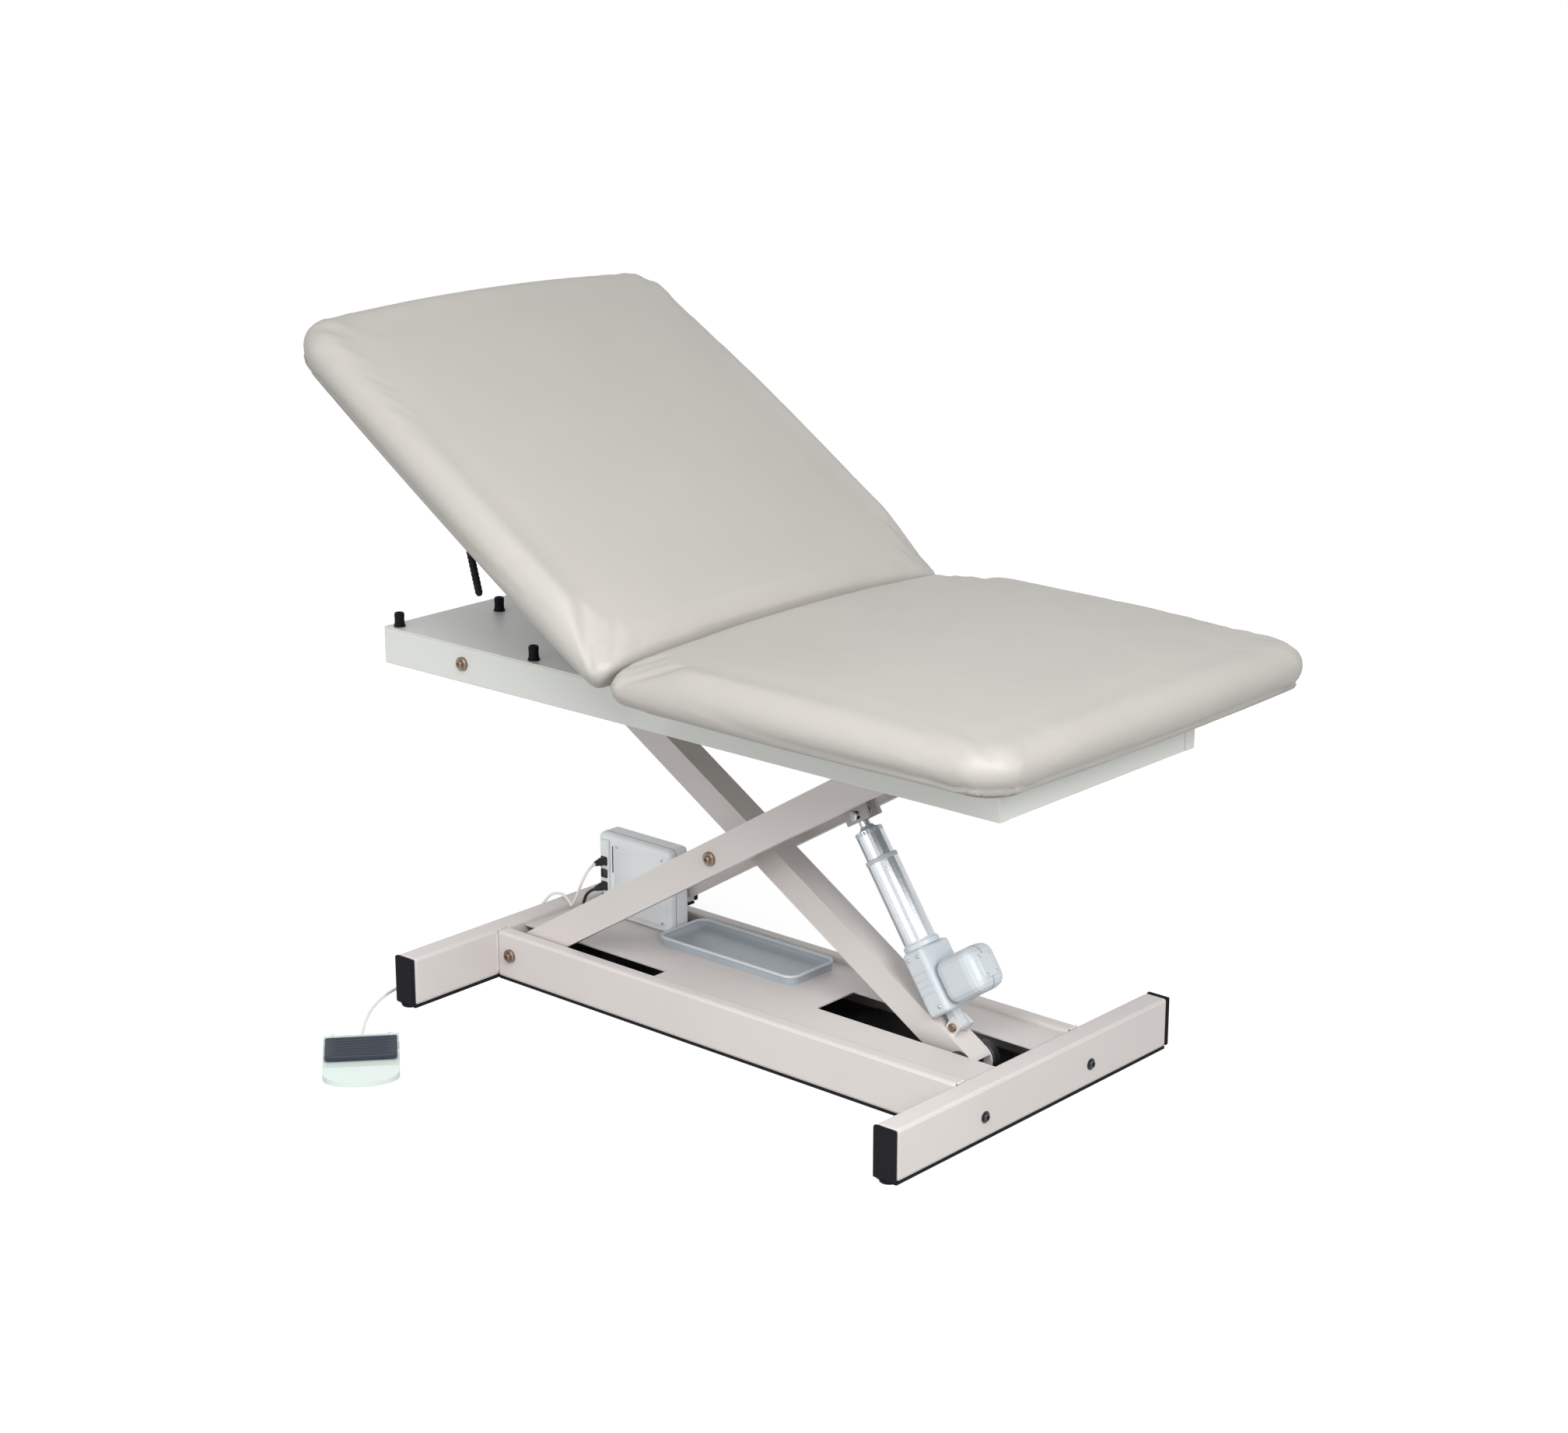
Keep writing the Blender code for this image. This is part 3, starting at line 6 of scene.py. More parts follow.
import bpy
import numpy as np
from bpy.props import FloatProperty, FloatVectorProperty, PointerProperty
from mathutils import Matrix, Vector

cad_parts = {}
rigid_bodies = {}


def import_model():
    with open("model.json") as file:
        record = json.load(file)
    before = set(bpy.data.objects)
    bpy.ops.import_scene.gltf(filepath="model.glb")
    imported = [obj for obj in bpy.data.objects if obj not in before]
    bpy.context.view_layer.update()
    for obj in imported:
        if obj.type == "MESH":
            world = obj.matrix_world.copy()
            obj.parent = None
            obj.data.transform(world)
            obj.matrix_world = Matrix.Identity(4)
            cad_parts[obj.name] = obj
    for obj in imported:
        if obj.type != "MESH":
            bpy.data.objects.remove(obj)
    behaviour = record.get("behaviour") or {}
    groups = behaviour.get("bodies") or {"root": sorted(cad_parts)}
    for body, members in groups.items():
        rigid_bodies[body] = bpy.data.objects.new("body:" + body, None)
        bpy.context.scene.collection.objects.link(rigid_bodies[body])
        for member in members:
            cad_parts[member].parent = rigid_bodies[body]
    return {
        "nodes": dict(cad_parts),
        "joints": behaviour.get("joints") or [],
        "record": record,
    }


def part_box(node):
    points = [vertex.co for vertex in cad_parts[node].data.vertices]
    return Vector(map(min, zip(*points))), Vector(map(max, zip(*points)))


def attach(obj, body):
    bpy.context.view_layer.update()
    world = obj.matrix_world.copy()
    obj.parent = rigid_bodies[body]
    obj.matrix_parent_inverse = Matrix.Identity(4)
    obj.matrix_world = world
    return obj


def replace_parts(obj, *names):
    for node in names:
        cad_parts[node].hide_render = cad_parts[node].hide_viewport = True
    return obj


bl_info = {
    "name": "Bariatric treatment table",
    "version": (1, 0, 0),
    "blender": (4, 5, 0),
    "location": "View3D > Sidebar > Treatment table",
    "description": "Builds the upholstery, cords, fixings and finishes of a powered treatment table",
    "category": "Object",
}

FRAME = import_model()
NODES = FRAME["nodes"]
JOINTS = {joint["name"]: joint for joint in FRAME["joints"]}
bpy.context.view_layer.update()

CREASE = Vector(JOINTS["backrest_recline"]["pos_m"])
RECLINE = radians(33.3)
LEG_ANGLE = radians(31.5)
SIDES = (-1, 1)

# Pads and boards, as if the backrest lay flat.
SEAT_REACH, BACK_REACH = 0.915, 1.030
PAD_HALF_WIDTH = 0.508
PAD_LOW, PAD_MIDDLE = 0.7892, 0.830
PAD_RISE = 0.036  # from the middle of the edge to the top
PAD_SETBACK = 0.0008  # from the hinge's plane
FREE_CORNER, CREASE_CORNER = 0.090, 0.022
EDGE_WIDTH, CREASE_EDGE_WIDTH = 0.036, 0.086  # width of the rounded edge, along the pad and at the crease
CREASE_FADE = 0.20
GRID = 71
HINGE_Y = 0.198
BOARD_HALF_WIDTH, BOARD_CORNER = 0.473, 0.060

# The actuator from its lower pin, the pedal, and the control box.
ACTUATOR_AXIS = np.array(JOINTS["actuator_extend"]["axis"], float)
ACTUATOR_PIN = np.array(JOINTS["actuator_tilt"]["pos_m"], float)
ACTUATOR_BULGE = np.array([ACTUATOR_AXIS[2], 0, -ACTUATOR_AXIS[0]])
MOTOR_ALONG = 0.080
PEDAL_TURN = radians(138.65)
PEDAL_BACK = np.array([cos(PEDAL_TURN), sin(PEDAL_TURN), 0])
PEDAL_SIDE = np.array([-sin(PEDAL_TURN), cos(PEDAL_TURN), 0])
PEDAL_MIDDLE = np.array([0.1585, -0.686, 0])
BOX_FOOT = 0.0983
SOCKET_X = 0.1195
SOCKET_HEIGHTS = (0.042, 0.070, 0.098, 0.126)
SEAM = [(0.004, -0.0008), (-0.0004, -0.0008), (-0.0004, 0.0008), (0.004, 0.0008)]


def linear(code):
    """Linear RGB of an sRGB hex value."""
    values = np.array([int(code[i:i + 2], 16) for i in (1, 3, 5)]) / 255
    return [float(v) for v in np.where(values <= 0.04045, values / 12.92, ((values + 0.055) / 1.055) ** 2.4)]


def colour(name, description, code):
    """A colour setting whose default is an sRGB hex value."""
    return FloatVectorProperty(
        name=name, description=description, subtype="COLOR", size=3, min=0, max=1, default=linear(code),
    )


def length(name, description, default, low=0.0005, high=1.0):
    """A length setting, in metres."""
    return FloatProperty(
        name=name, description=description, default=default, min=low, max=high, unit="LENGTH", precision=4,
    )


def angle(name, description, degrees):
    """An angle setting whose default is in degrees."""
    return FloatProperty(name=name, description=description, default=radians(degrees), subtype="ANGLE")


def power(name, description, watts):
    """A lamp's power setting."""
    return FloatProperty(name=name, description=description, default=watts, min=0, subtype="POWER")


class TableFinishes(bpy.types.PropertyGroup):
    """Colours of the table's finishes."""

    vinyl: colour("Pad vinyl", "Smooth upholstery vinyl on the seat and the backrest", "#A7A49E")
    frame_paint: colour("Top frame", "White powder coat of the top frame", "#DEE0DB")
    base_paint: colour("Base", "Off-white powder coat of the base and the legs", "#D2CCC9")
    rubber: colour("Rubber", "Caps, strips and bumpers", "#141318")
    control_box: colour("Control box", "Moulded housing on the deck", "#EEF2F4")
    actuator: colour("Actuator housing", "Moulded gearbox and motor cover", "#C8CFD4")
    tray: colour("Tray", "Pressed tray on the deck", "#A3ACB4")
    pedal: colour("Pedal base", "Moulded base of the foot pedal", "#D2DDD8")
    rocker: colour("Pedal rocker", "Moulded treadle of the foot pedal", "#1E2633")
    cord: colour("Pedal cord", "Sheath of the pedal's cord", "#EEEEE6")
    lead: colour("Motor lead", "Sheath of the lead under the control box", "#1C1C20")


class TableSizes(bpy.types.PropertyGroup):
    """Sizes of the dressed pieces."""

    pad_inset: length("Pad inset", "How much smaller the pad starts than its solid, before it swells", 0.004, 0.0, 0.02)
    pad_swell: length("Pad swell", "Most that a point of the cover may move as the pad swells", 0.010, 0.0, 0.03)
    pad_crown: length("Pad crown", "Extra height of the foam at the middle of a pad", 0.022, 0.0, 0.05)
    crease_dome: length("Crease dome", "Extra height of the foam at the middle of the crease", 0.028, 0.0, 0.05)
    crease_slope: angle("Crease slope", "Steepest a pad rises from the hinge", 57)
    pad_bow: length("Pad bow", "How far the middle of a free side stands out from its corners", 0.014, 0.0, 0.05)
    cloth_step: length("Cloth step", "Spacing of the cover's mesh", 0.009, 0.004, 0.03)
    cord_diameter: length("Cord diameter", "Sheath of the pedal's cord", 0.006)
    lead_diameter: length("Lead diameter", "Sheath of the lead under the control box", 0.007)
    bolt_radius: length("Bolt head radius", "Socket cap screws of the pivots", 0.0082)
    weld_radius: length("Weld radius", "Half width of the weld beads", 0.0028)


class StageSettings(bpy.types.PropertyGroup):
    """Camera and light."""

    azimuth: angle("Azimuth", "Camera's turn round the table", 41.36)
    elevation: angle("Elevation", "Camera's height above the horizon", 16.45)
    distance: length("Distance", "From the camera to its target", 5.917, 1.0, 30.0)
    lens: FloatProperty(name="Lens", description="Focal length", default=69.06, min=10, max=300, unit="CAMERA")
    target: FloatVectorProperty(
        name="Target", description="What the camera looks at", subtype="TRANSLATION", default=(0.6642, 0.0, 0.6597))
    key_power: power("Key light", "Main soft box", 68.0)
    fill_power: power("Fill light", "Soft box beyond the foot end", 170.0)
    side_power: power("Side light", "Low soft box on the pedal's side", 58.0)
    world_light: FloatProperty(name="Room light", description="Even light from all round", default=0.52, min=0, max=2)


# Materials


def add(tree, kind, values=None, links=None, **settings):
    """Adds a node with its settings, input values and links, and returns it."""
    made = tree.nodes.new(kind)
    for key, value in settings.items():
        setattr(made, key, value)
    for socket, value in (values or {}).items():
        made.inputs[socket].default_value = value
    for socket, source in (links or {}).items():
        tree.links.new(source, made.inputs[socket])
    return made


def start_material(kind):
    """A finish's material, its shader and its Object coordinates, or the material alone if it is made already."""
    name = "finish_" + kind
    made = bpy.data.materials.get(name)
    if made:
        return made, None, None, None
    made = bpy.data.materials.new(name)
    made.use_nodes = True
    tree = made.node_tree
    shader = tree.nodes["Principled BSDF"]
    place = add(tree, "ShaderNodeTexCoord").outputs["Object"]
    return made, tree, shader, place


def tone_ramp(tree, drift, base, spread):
    """A darker to a lighter tone of a colour, over the middle of a noise."""
    ramp = add(tree, "ShaderNodeValToRGB", links={"Fac": drift.outputs["Fac"]})
    for stop, factor, at in zip(ramp.color_ramp.elements, (1 - spread, 1 + spread), (0.3, 0.7)):
        stop.color, stop.position = (*(min(1.0, c * factor) for c in base), 1.0), at
    return ramp.outputs["Color"]


def wire(tree, shader, tone, gloss, relief):
    """Links a tone, a gloss and a relief to the shader."""
    tree.links.new(tone, shader.inputs["Base Color"])
    tree.links.new(gloss.outputs["Result"], shader.inputs["Roughness"])
    tree.links.new(relief.outputs["Normal"], shader.inputs["Normal"])


def surface(name, base, roughness, grain_mm, bump_mm, mottle, mottle_mm, metallic=0.0, stretch=(1, 1, 1),
            roughness_spread=0.06, turn=(0, 0, 0), specular=0.5):
    """A finish whose tone drifts over mottle_mm and whose relief is a noise of grain_mm, stretched on drawn metal."""
    made, tree, shader, place = start_material(name)
    if tree is None:
        return made
    noise = {"Scale": 1000 / mottle_mm, "Detail": 4.0, "Roughness": 0.55}
    drift = add(tree, "ShaderNodeTexNoise", noise, {"Vector": place})
    tone = tone_ramp(tree, drift, base, mottle)
    spread = add(tree, "ShaderNodeMapping", {"Scale": stretch, "Rotation": turn}, {"Vector": place})
    noise = {"Scale": 1000 / grain_mm, "Detail": 3.0, "Roughness": 0.6}
    grain = add(tree, "ShaderNodeTexNoise", noise, {"Vector": spread.outputs["Vector"]}).outputs["Fac"]
    ends = {"To Min": roughness - roughness_spread, "To Max": roughness + roughness_spread}
    gloss = add(tree, "ShaderNodeMapRange", ends, {"Value": grain})
    relief = add(tree, "ShaderNodeBump", {"Strength": 0.5, "Distance": bump_mm / 1000}, {"Height": grain})
    shader.inputs["Metallic"].default_value = metallic
    shader.inputs["Specular IOR Level"].default_value = specular
    wire(tree, shader, tone, gloss, relief)
    return made


def upholstery_vinyl(name, base):
    """PVC-coated upholstery cloth, embossed with a fine hide grain.

    The eye sees a satin skin, soft drifts of tone where the foam has stretched it, and a grain that is
    about 1 mm across on the real cloth, drawn here at 2.2 mm so that it shows.
    """
    made, tree, shader, place = start_material(name)
    if tree is None:
        return made
    grain_mm = 2.2
    drift = add(tree, "ShaderNodeTexNoise", {"Scale": 3.2, "Detail": 3.0, "Roughness": 0.5}, {"Vector": place})
    tone = tone_ramp(tree, drift, base, 0.025)
    cells = {"Scale": 1000 / grain_mm, "Randomness": 1.0}
    pores = add(tree, "ShaderNodeTexVoronoi", cells, {"Vector": place}, feature="DISTANCE_TO_EDGE")
    crease = add(tree, "ShaderNodeMapRange", {"From Max": 0.18}, {"Value": pores.outputs["Distance"]})
    ripple = add(tree, "ShaderNodeTexNoise", {"Scale": 9.0, "Detail": 2.0, "Distortion": 0.6}, {"Vector": place})
    gloss = add(tree, "ShaderNodeMapRange", {"To Min": 0.40, "To Max": 0.52}, {"Value": ripple.outputs["Fac"]})
    soft = add(tree, "ShaderNodeBump", {"Strength": 0.35, "Distance": 0.004}, {"Height": ripple.outputs["Fac"]})
    relief = add(
        tree, "ShaderNodeBump", {"Strength": 0.16, "Distance": 0.0003},
        {"Height": crease.outputs["Result"], "Normal": soft.outputs["Normal"]},
    )
    shader.inputs["IOR"].default_value = 1.53
    wire(tree, shader, tone, gloss, relief)
    return made


def finish(kind):
    """The table's finishes by name, each made once."""
    tones = bpy.context.scene.table_finishes
    if kind == "vinyl":
        return upholstery_vinyl("upholstery_vinyl", tones.vinyl)
    # A row has the tone, the roughness, the grain and its relief in mm, and the drift of the tone and its size in mm.
    recipes = {
        # Polyester powder, baked: an orange-peel skin about 1.8 mm from crest to crest, satin.
        "frame_paint": (tones.frame_paint, 0.42, 1.8, 0.06, 0.02, 260),
        "base_paint": (tones.base_paint, 0.44, 1.8, 0.06, 0.025, 260),
        # Birch plywood, sprayed black on its underside: dull, with a faint fibre.
        "board": (linear("#262422"), 0.72, 4, 0.1, 0.15, 60),
        # Moulded SBR: dull, slightly uneven.
        "rubber": (tones.rubber, 0.75, 2.0, 0.08, 0.12, 30),
        # Bright zinc on mild steel: small spangle, light haze.
        "zinc": (linear("#BFC1C4"), 0.34, 2.5, 0.02, 0.08, 9),
        # Yellow passivated zinc: a warm metal with uneven tone.
        "yellow_zinc": (linear("#8F7F72"), 0.38, 2.0, 0.02, 0.15, 8),
        # Cast nylon, dyed black: turned, with fine tool marks.
        "nylon": (linear("#1E1E21"), 0.48, 0.8, 0.03, 0.03, 20),
        # Textured ABS: spark-eroded mould skin, drawn at 1 mm so that it shows.
        "actuator_abs": (tones.actuator, 0.42, 1.0, 0.03, 0.02, 90),
        "box_abs": (tones.control_box, 0.46, 1.0, 0.04, 0.02, 90),
        "pedal_abs": (tones.pedal, 0.46, 1.0, 0.04, 0.02, 60),
        "rocker_abs": (tones.rocker, 0.55, 1.2, 0.06, 0.10, 40),
        "socket_abs": (linear("#1F1F22"), 0.5, 1.0, 0.04, 0.10, 20),
        "seam_grey": (linear("#8C9298"), 0.6, 1.0, 0.03, 0.05, 30),
        # Drawn aluminium, clear anodised: lines along the tube.
        "drawn_aluminium": (linear("#C9CED3"), 0.27, 0.8, 0.01, 0.05, 40),
        # Hard chrome on ground steel: near mirror.
        "hard_chrome": (linear("#CFD0D2"), 0.12, 1.0, 0.004, 0.02, 120),
        "black_paint": (linear("#26262A"), 0.38, 1.5, 0.03, 0.08, 60),
        # Pressed steel, grey enamel; the rim's lighter tone is a painted highlight along its rolled edge.
        "tray_rim_highlight": (linear("#C9CFD4"), 0.34, 2.0, 0.03, 0.04, 60),
        "tray_enamel": (tones.tray, 0.36, 2.0, 0.04, 0.04, 90),
        # Extruded PVC sheath: smooth, slightly waxy.
        "cord_pvc": (tones.cord, 0.44, 1.2, 0.02, 0.03, 30),
        "lead_pvc": (tones.lead, 0.48, 1.2, 0.02, 0.10, 30),
    }
    extras = {
        "board": {"stretch": (0.12, 1, 1)},
        "rubber": {"specular": 0.15},
        "zinc": {"metallic": 1.0},
        "yellow_zinc": {"metallic": 1.0},
        "nylon": {"stretch": (1, 0.1, 1)},
        "drawn_aluminium": {"metallic": 1.0, "stretch": (1, 1, 0.06), "turn": (0, radians(34), 0)},
        "hard_chrome": {"metallic": 1.0, "roughness_spread": 0.03},
    }
    return surface(kind, *recipes[kind], **extras.get(kind, {}))


# Surfaces


def place_mesh(name, points, faces, body, kind, smooth_angle=40.0):
    """A mesh piece at the origin that rides on a body, smooth but for edges sharper than smooth_angle."""
    mesh = bpy.data.meshes.new(name)
    mesh.from_pydata(points.tolist(), [], faces)
    mesh.materials.append(finish(kind))
    mesh.shade_smooth()
    mesh.set_sharp_from_angle(angle=radians(smooth_angle))
    made = bpy.data.objects.new(name, mesh)
    bpy.context.scene.collection.objects.link(made)
    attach(made, body)
    return made


def ring_faces(rings, sides, first=0, wrap=False):
    """Quads between neighbouring rings. The ends get a flat cap, or with wrap the last ring meets the first."""
    row, step = np.meshgrid(np.arange(rings if wrap else rings - 1), np.arange(sides), indexing="ij")
    after, above = (step + 1) % sides, (row + 1) % rings
    corners = np.stack([row * sides + step, row * sides + after, above * sides + after, above * sides + step], -1)
    faces = (corners.reshape(-1, 4) + first).tolist()
    if not wrap:
        faces.append((np.arange(sides)[::-1] + first).tolist())
        faces.append((np.arange(sides) + (rings - 1) * sides + first).tolist())
    return faces


def outward(points, sides, wrap):
    """Points of a ringed solid, with each ring's order reversed where the solid would be inside out."""
    rings = points.reshape(-1, sides, 3)
    low, high = (rings, np.roll(rings, -1, 0)) if wrap else (rings[:-1], rings[1:])
    across = np.cross(np.roll(low, -1, 1) - low, high - low)
    facing = np.einsum("ijk,ijk->", across, low - points.mean(0))
    return points if facing > 0 else rings[:, ::-1].reshape(-1, 3)


def joined(name, solids, body, kind, smooth_angle=40.0, wrap=False):
    """Several ringed solids, each an array of rings by sides by 3, as one piece."""
    points, faces, first = [], [], 0
    for rings in solids:
        count, sides = rings.shape[:2]
        points.append(outward(rings.reshape(-1, 3), sides, wrap))
        faces += ring_faces(count, sides, first, wrap)
        first += count * sides
    return place_mesh(name, np.concatenate(points), faces, body, kind, smooth_angle)


def frame_about(axis):
    """Two unit vectors across an axis."""
    axis = np.array(axis, float) / np.linalg.norm(axis)
    hint = np.array([0, 0, 1.0]) if abs(axis[2]) < 0.9 else np.array([1.0, 0, 0])
    first = np.cross(hint, axis)
    first /= np.linalg.norm(first)
    return first, np.cross(axis, first), axis


def turned(profile, centre, axis, sides=24, lobes=None):
    """Rings of a turned piece: profile is (radius, height) along the axis. lobes marks the rows that are hexagons."""
    profile = np.array(profile, float)
    angle = np.linspace(0, 2 * pi, sides, endpoint=False)
    radius = np.repeat(profile[:, :1], sides, 1)
    if lobes is not None:
        hexagon = cos(pi / 6) / np.cos((angle % (pi / 3)) - pi / 6)
        radius[list(lobes)] *= hexagon
    u, v, w = frame_about(axis)
    round_points = radius[..., None] * (np.cos(angle)[:, None] * u + np.sin(angle)[:, None] * v)
    return np.array(centre) + round_points + profile[:, 1][:, None, None] * w


def cap_screw(centre, axis, radius):
    """Rings of a socket cap screw on a washer: a chamfered head with a hexagonal recess."""
    height, washer = radius * 0.72, radius * 1.45
    profile = [
        (washer, -0.0006), (washer, 0.0012), (radius, 0.0014), (radius, height * 0.8), (radius * 0.86, height),
        (radius * 0.60, height), (radius * 0.56, height * 0.96), (radius * 0.56, height * 0.35),
    ]
    return turned(profile, centre, axis, 24, lobes=(5, 6, 7))


def pan_screw(centre, axis, radius):
    """Rings of a domed screw head with a round drive recess."""
    profile = [
        (radius, -0.0004), (radius, radius * 0.25), (radius * 0.86, radius * 0.55), (radius * 0.5, radius * 0.72),
        (radius * 0.36, radius * 0.72), (radius * 0.30, radius * 0.35),
    ]
    return turned(profile, centre, axis, 18, lobes=(4, 5))


def tube(path, radius, sides=12):
    """Rings of a round profile carried along a path. radius is one number, or one for each point."""
    path = np.array(path, float)
    tangent = np.gradient(path, axis=0)
    tangent /= np.linalg.norm(tangent, axis=1)[:, None]
    normal = np.empty_like(path)
    normal[0] = frame_about(tangent[0])[0]
    for i in range(1, len(path)):
        across = normal[i - 1] - tangent[i] * (normal[i - 1] @ tangent[i])
        normal[i] = across / np.linalg.norm(across)
    side = np.cross(tangent, normal)
    angle = np.linspace(0, 2 * pi, sides, endpoint=False)
    radius = np.broadcast_to(radius, len(path))[:, None, None]
    return path[:, None] + radius * (np.cos(angle)[:, None] * normal[:, None] + np.sin(angle)[:, None] * side[:, None])


def weld(start, end, radius):
    """Rings of a weld bead: a tube whose radius ripples every 3.5 mm, as a stack of puddles does."""
    start, end = np.array(start, float), np.array(end, float)
    span = np.linalg.norm(end - start)
    t = np.linspace(0, 1, max(8, int(span / 0.0012)))
    ripple = radius * (1 + 0.14 * np.sin(2 * pi * t * span / 0.0035)) * np.minimum(1, 8 * np.minimum(t, 1 - t) + 0.35)
    return tube(start + t[:, None] * (end - start), ripple, 8)


def rounded_loop(half_x, half_y, corner, count=48):
    """Points of a rounded rectangle about the origin, evenly spaced in angle at its corners."""
    per = count // 4
    angle = (np.arange(per) / (per - 1) * pi / 2)[None] + (np.arange(4) * pi / 2)[:, None]
    sign = np.array([(1, 1), (-1, 1), (-1, -1), (1, -1)], float)
    centre = sign * [half_x - corner, half_y - corner]
    return (centre[:, None] + corner * np.stack([np.cos(angle), np.sin(angle)], -1)).reshape(-1, 2)


def slab(centre, half, corner, profile, axes=((1, 0, 0), (0, 1, 0), (0, 0, 1)), count=48):
    """Rings of a rounded slab: profile is (inset, height), the outline drawn in by inset at each height."""
    u, v, w = (np.array(axis, float) for axis in axes)
    rings = []
    for inset, height in profile:
        loop = rounded_loop(half[0] - inset, half[1] - inset, max(corner - inset, 0.0004), count)
        rings.append(np.array(centre) + loop[:, :1] * u + loop[:, 1:] * v + height * w)
    return np.array(rings)


def backrest_place(points):
    """Points given as if the backrest lay flat, turned to its rest angle about the crease."""
    points = np.asarray(points, float) - CREASE
    x = points[..., 0] * cos(RECLINE) + points[..., 2] * sin(RECLINE)
    z = -points[..., 0] * sin(RECLINE) + points[..., 2] * cos(RECLINE)
    return np.stack([x, points[..., 1], z], -1) + CREASE


def on_actuator(along, y, out):
    """World place along the actuator from its lower pin; out is towards the motor's side."""
    return ACTUATOR_PIN + along * ACTUATOR_AXIS + np.array([0, y, 0]) + out * ACTUATOR_BULGE


# Operators


class TABLE_OT_cords(bpy.types.Operator):
    """Pedal cord and motor lead, with their plugs and sleeves"""

    bl_idname = "table.cords"
    bl_label = "Cords"

    def execute(self, context):
        sizes = context.scene.table_sizes
        back = PEDAL_BACK
        pedal = PEDAL_MIDDLE + [0, 0, 0.014] + 0.0753 * back
        top, low = (np.array([SOCKET_X, 0.0381, BOX_FOOT + SOCKET_HEIGHTS[i]]) for i in (3, 1))
        lie = 0.00345  # height of the cord's axis on the floor
        pedal_route = [
            pedal, pedal + 0.012 * back, pedal + 0.024 * back, (0.048, -0.585, 0.010), (0.005, -0.540, 0.006),
            (-0.042, -0.480, lie), (-0.078, -0.405, lie), (-0.091, -0.315, lie), (-0.090, -0.220, lie),
            (-0.084, -0.130, lie), (-0.074, -0.060, 0.010), (-0.064, -0.015, 0.042), (-0.052, 0.010, 0.084),
            (-0.030, 0.024, 0.116), (0.002, 0.026, 0.124), (0.034, 0.016, 0.118), (0.064, -0.008, 0.122),
            (0.092, -0.022, 0.148), (0.110, -0.022, 0.186), (0.118, -0.008, 0.215),
            top - [0, 0.024, 0], top - [0, 0.012, 0], top,
        ]
        deck = np.array([0.078, 0.014, 0.0989])
        lead_route = [
            low, low - [0, 0.012, 0], low - [0.002, 0.026, 0.001], (0.108, 0.009, 0.162), (0.093, 0.010, 0.149),
            (0.082, 0.013, 0.130), deck + [0, 0, 0.012], deck,
        ]
        sleeve = [(0.0062, 0.0), (0.0062, 0.008), (0.0050, 0.010), (0.0050, 0.014), (0.0040, 0.020), (0.0034, 0.026)]
        plug = [(0.0086, 0.0), (0.0090, 0.002), (0.0090, 0.012), (0.0074, 0.014), (0.0066, 0.022), (0.0046, 0.028)]
        grommet = joined("pedal_cord_sleeve", [turned(sleeve, pedal - 0.0002 * back, back, 20)], "base", "cord_pvc")
        top_plug, low_plug = (
            joined(name, [turned(plug, place + [0, 0.0001, 0], (0, -1, 0), 20)], "base", "socket_abs")
            for name, place in (("pedal_cord_plug", top), ("motor_lead_plug", low))
        )
        for node, route, diameter, kind, pieces, stiffness in (
            ("pedal_cord", pedal_route, sizes.cord_diameter, "cord_pvc", [grommet, top_plug], "medium"),
            ("motor_lead", lead_route, sizes.lead_diameter, "lead_pvc", [low_plug], "limp"),
        ):
            name = node + "_sheath"
            line = self.smooth(np.array(route, float))
            curve = bpy.data.curves.new(name, "CURVE")
            curve.dimensions = "3D"
            curve.bevel_depth = diameter / 2
            curve.bevel_resolution = 4
            curve.use_fill_caps = True
            spline = curve.splines.new("POLY")
            spline.points.add(len(line) - 1)
            spline.points.foreach_set("co", np.column_stack([line, np.ones(len(line))]).ravel())
            curve.materials.append(finish(kind))
            made = bpy.data.objects.new(name, curve)
            context.scene.collection.objects.link(made)
            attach(made, "base")
            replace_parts(made, node)
        return {"FINISHED"}

    @staticmethod
    def smooth(route, step=0.006):
        """Points about a step apart on a Catmull-Rom curve through the route."""
        padded = np.concatenate([[2 * route[0] - route[1]], route, [2 * route[-1] - route[-2]]])
        line = []
        for a, b, c, d in zip(padded, padded[1:], padded[2:], padded[3:]):
            count = max(1, round(np.linalg.norm(c - b) / step))
            t = (np.arange(count) / count)[:, None]
            square, cube = 2 * a - 5 * b + 4 * c - d, 3 * b - a - 3 * c + d
            line.append((2 * b + (c - a) * t + square * t**2 + cube * t**3) / 2)
        return np.concatenate([*line, route[-1:]])


class TABLE_OT_finishes(bpy.types.Operator):
    """Paint, rubber, plating and mouldings on the parts that keep their solid shape"""

    bl_idname = "table.finishes"
    bl_label = "Finishes"

    KINDS = {
        "frame_paint": "frame_paint", "base_paint": "base_paint", "board": "board", "black_rubber": "rubber",
        "plated_steel": "zinc", "bronze_pin": "yellow_zinc", "nylon": "nylon", "actuator_cover": "actuator_abs",
        "actuator_tube": "drawn_aluminium", "chrome_rod": "hard_chrome", "spring_black": "black_paint",
        "control_box": "box_abs", "tray_grey": "tray_enamel",
        "pedal_white": "pedal_abs", "pedal_navy": "rocker_abs", "vinyl": "vinyl", "cord_cream": "cord_pvc",
        "lead_black": "lead_pvc",
    }

    def execute(self, context):
        for part in FRAME["record"]["subparts"]:
            node = NODES[part["node"]]
            node.data.materials.clear()
            kind = "drawn_aluminium" if node.name == "lift_rod" else self.KINDS[part["material_slot"]]
            node.data.materials.append(finish(kind))
        return {"FINISHED"}


